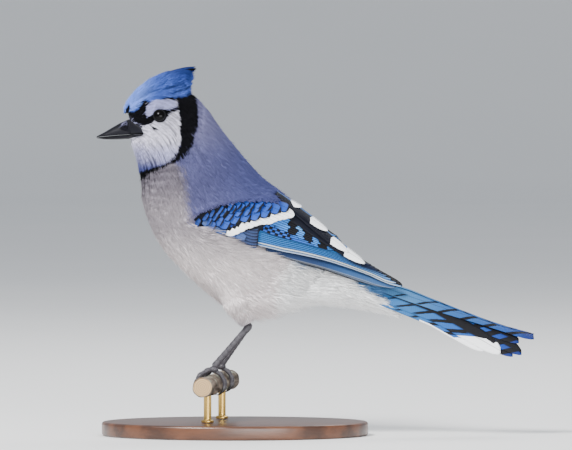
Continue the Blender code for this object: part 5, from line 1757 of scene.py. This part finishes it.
def make_stand():
    wood = Finish("dark_wood", 0.35, Coat_Weight=0.3, Coat_Roughness=0.25)
    position = wood.position()
    grain = wood.noise(60.0, 5.0, wood.stretch(position, (0.25, 2.4, 2.4)))
    fine = wood.noise(700.0, 3.0, wood.stretch(position, (0.1, 1.0, 1.0)))
    _, y, _ = wood.parts(position)
    rings = ((y * 420.0) + grain * 9.0).sine()
    colour = wood.mix(0.5 + 0.5 * rings, srgb(62, 36, 22), srgb(96, 58, 36))
    wood.colour(wood.shade(colour, 0.8 + 0.4 * fine))
    wood.bump(fine, 0.0002, 0.3)
    brass = Finish("brass", 0.28, Metallic=1.0)
    spots = brass.mottle(140.0, 3.0, srgb(188, 150, 78), srgb(212, 178, 104))
    brass.feed(brass.shader.inputs["Roughness"], 0.22 + 0.16 * spots)
    deselect()
    bpy.ops.mesh.primitive_cylinder_add(vertices=160, radius=1.0, depth=1.0)
    base = bpy.context.object
    base.name = "base_board"
    base.scale = (BASE_SIZE[0] / 2 * MM, BASE_SIZE[1] / 2 * MM, BASE_SIZE[2] * MM)
    base.location = (0, 0, BASE_SIZE[2] / 2 * MM)
    bpy.ops.object.transform_apply(location=True, rotation=True, scale=True)
    modified(base, "BEVEL", width=1.6 * MM, segments=5, limit_method="ANGLE")
    bpy.ops.object.shade_smooth_by_angle(angle=math.radians(40))
    base.data.materials.append(wood.material)
    keep(base, "stand_wood", "stand_base")
    for name, y in (("near", -ROD_SPACING / 2), ("far", ROD_SPACING / 2)):
        centre = perch_centre(y)
        box_low, box_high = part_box("stand_rod_" + name)
        low, high = box_low[2] / MM, box_high[2] / MM
        rows = ((0.0, 3.4), (0.5, 3.6), (1.3, 3.6), (1.7, 3.1), (1.75, 2.2), (high - low, 2.2))
        path = [(centre[0], centre[1], low + row[0]) for row in rows]
        steps = np.concatenate([np.linspace(i, i + 1, 8)[:-1] for i in range(len(rows) - 1)] + [[5]])
        limb = Limb(path, [row[1] for row in rows])
        fine_limb = Limb(limb.centre(steps), np.interp(steps, range(len(rows)), limb.radii))
        rod = wrapped("rod_" + name, 32, 60, fine_limb.place(cap=0.03, flat=True), brass)
        keep(rod, "stand_brass", "stand_rod_" + name)


# Stage


def add_stage():
    """A pale round floor that curves up far beyond the bird, and soft lamps."""
    bend = np.linspace(0, math.pi / 2, 12)
    reach = np.concatenate(([1.0, 3.0], 6.0 + 2.5 * np.sin(bend))) * 1000
    height = np.concatenate(([0.0, 0.0], 1.6 - 1.6 * np.cos(bend))) * 1000
    around = 72
    turns = np.arange(around) * 2 * math.pi / around
    points = np.stack((
        reach[:, None] * np.cos(turns), reach[:, None] * np.sin(turns),
        height[:, None] + 0 * turns), -1).reshape(-1, 3)
    points = np.concatenate((points, [(0, 0, 0)]))
    quads = [
        (k * around + j, (k + 1) * around + j, (k + 1) * around + (j + 1) % around,
         k * around + (j + 1) % around)
        for k in range(len(reach) - 1) for j in range(around)
    ]
    middle = [(len(points) - 1, j, (j + 1) % around) for j in range(around)]
    finish = Finish("floor_paper", 0.9, Specular_IOR_Level=0.1)
    finish.mottle(3.0, 2.0, srgb(236, 236, 234), srgb(241, 240, 238))
    mesh_piece("floor", points, [np.array(quads), np.array(middle)], finish)
    world = bpy.data.worlds.new("studio")
    bpy.context.scene.world = world
    world.use_nodes = True
    background = world.node_tree.nodes["Background"]
    background.inputs["Color"].default_value = srgb(224, 231, 242)
    background.inputs["Strength"].default_value = 0.72
    lamps = (
        # name, place in metres, size, power
        ("key", (-0.9, -1.4, 1.9), 0.8, 104.0),
        ("fill", (0.6, -2.2, 0.1), 1.6, 78.0),
        ("rim", (0.5, 0.9, 1.4), 0.8, 14.0),
    )
    for name, place, size, power in lamps:
        bpy.ops.object.light_add(type="AREA", location=place)
        lamp = bpy.context.object
        lamp.name = name
        lamp.data.size = size
        lamp.data.energy = power
        aim = Vector((0.02, 0, 0.12)) - Vector(place)
        lamp.rotation_euler = aim.to_track_quat("-Z", "Y").to_euler()


def add_camera():
    target = Vector(PICTURE_CENTRE) * MM
    away = Vector((0, -math.cos(CAMERA_RISE), math.sin(CAMERA_RISE))) * CAMERA_DISTANCE
    bpy.ops.object.camera_add(location=target + away, rotation=(math.pi / 2 - CAMERA_RISE, 0, 0))
    camera = bpy.context.object
    camera.data.sensor_width = SENSOR
    camera.data.lens = SENSOR * CAMERA_DISTANCE / (PICTURE_WIDTH * MM)
    camera.data.clip_end = 30.0
    bpy.context.scene.camera = camera


def main():
    deselect()
    body, crest = Form(BODY_RINGS), Form(CREST_RINGS)
    add_stage()
    add_camera()
    make_skin(body, crest)
    coat = coat_finish()
    make_body_coat(body, coat)
    make_crest(crest, coat)
    make_thigh_coat(coat)
    sheet = Form(WING_RINGS)
    vanes = quill_finish()
    make_wings(sheet, body, vanes)
    make_tail(body, vanes)
    make_tail_cover(coat)
    make_bill(body, bill_finish())
    make_bristles(coat)
    make_eyes(body)
    make_legs(leg_finish(), horn_finish())
    make_perch(bark_finish())
    make_stand()


main()
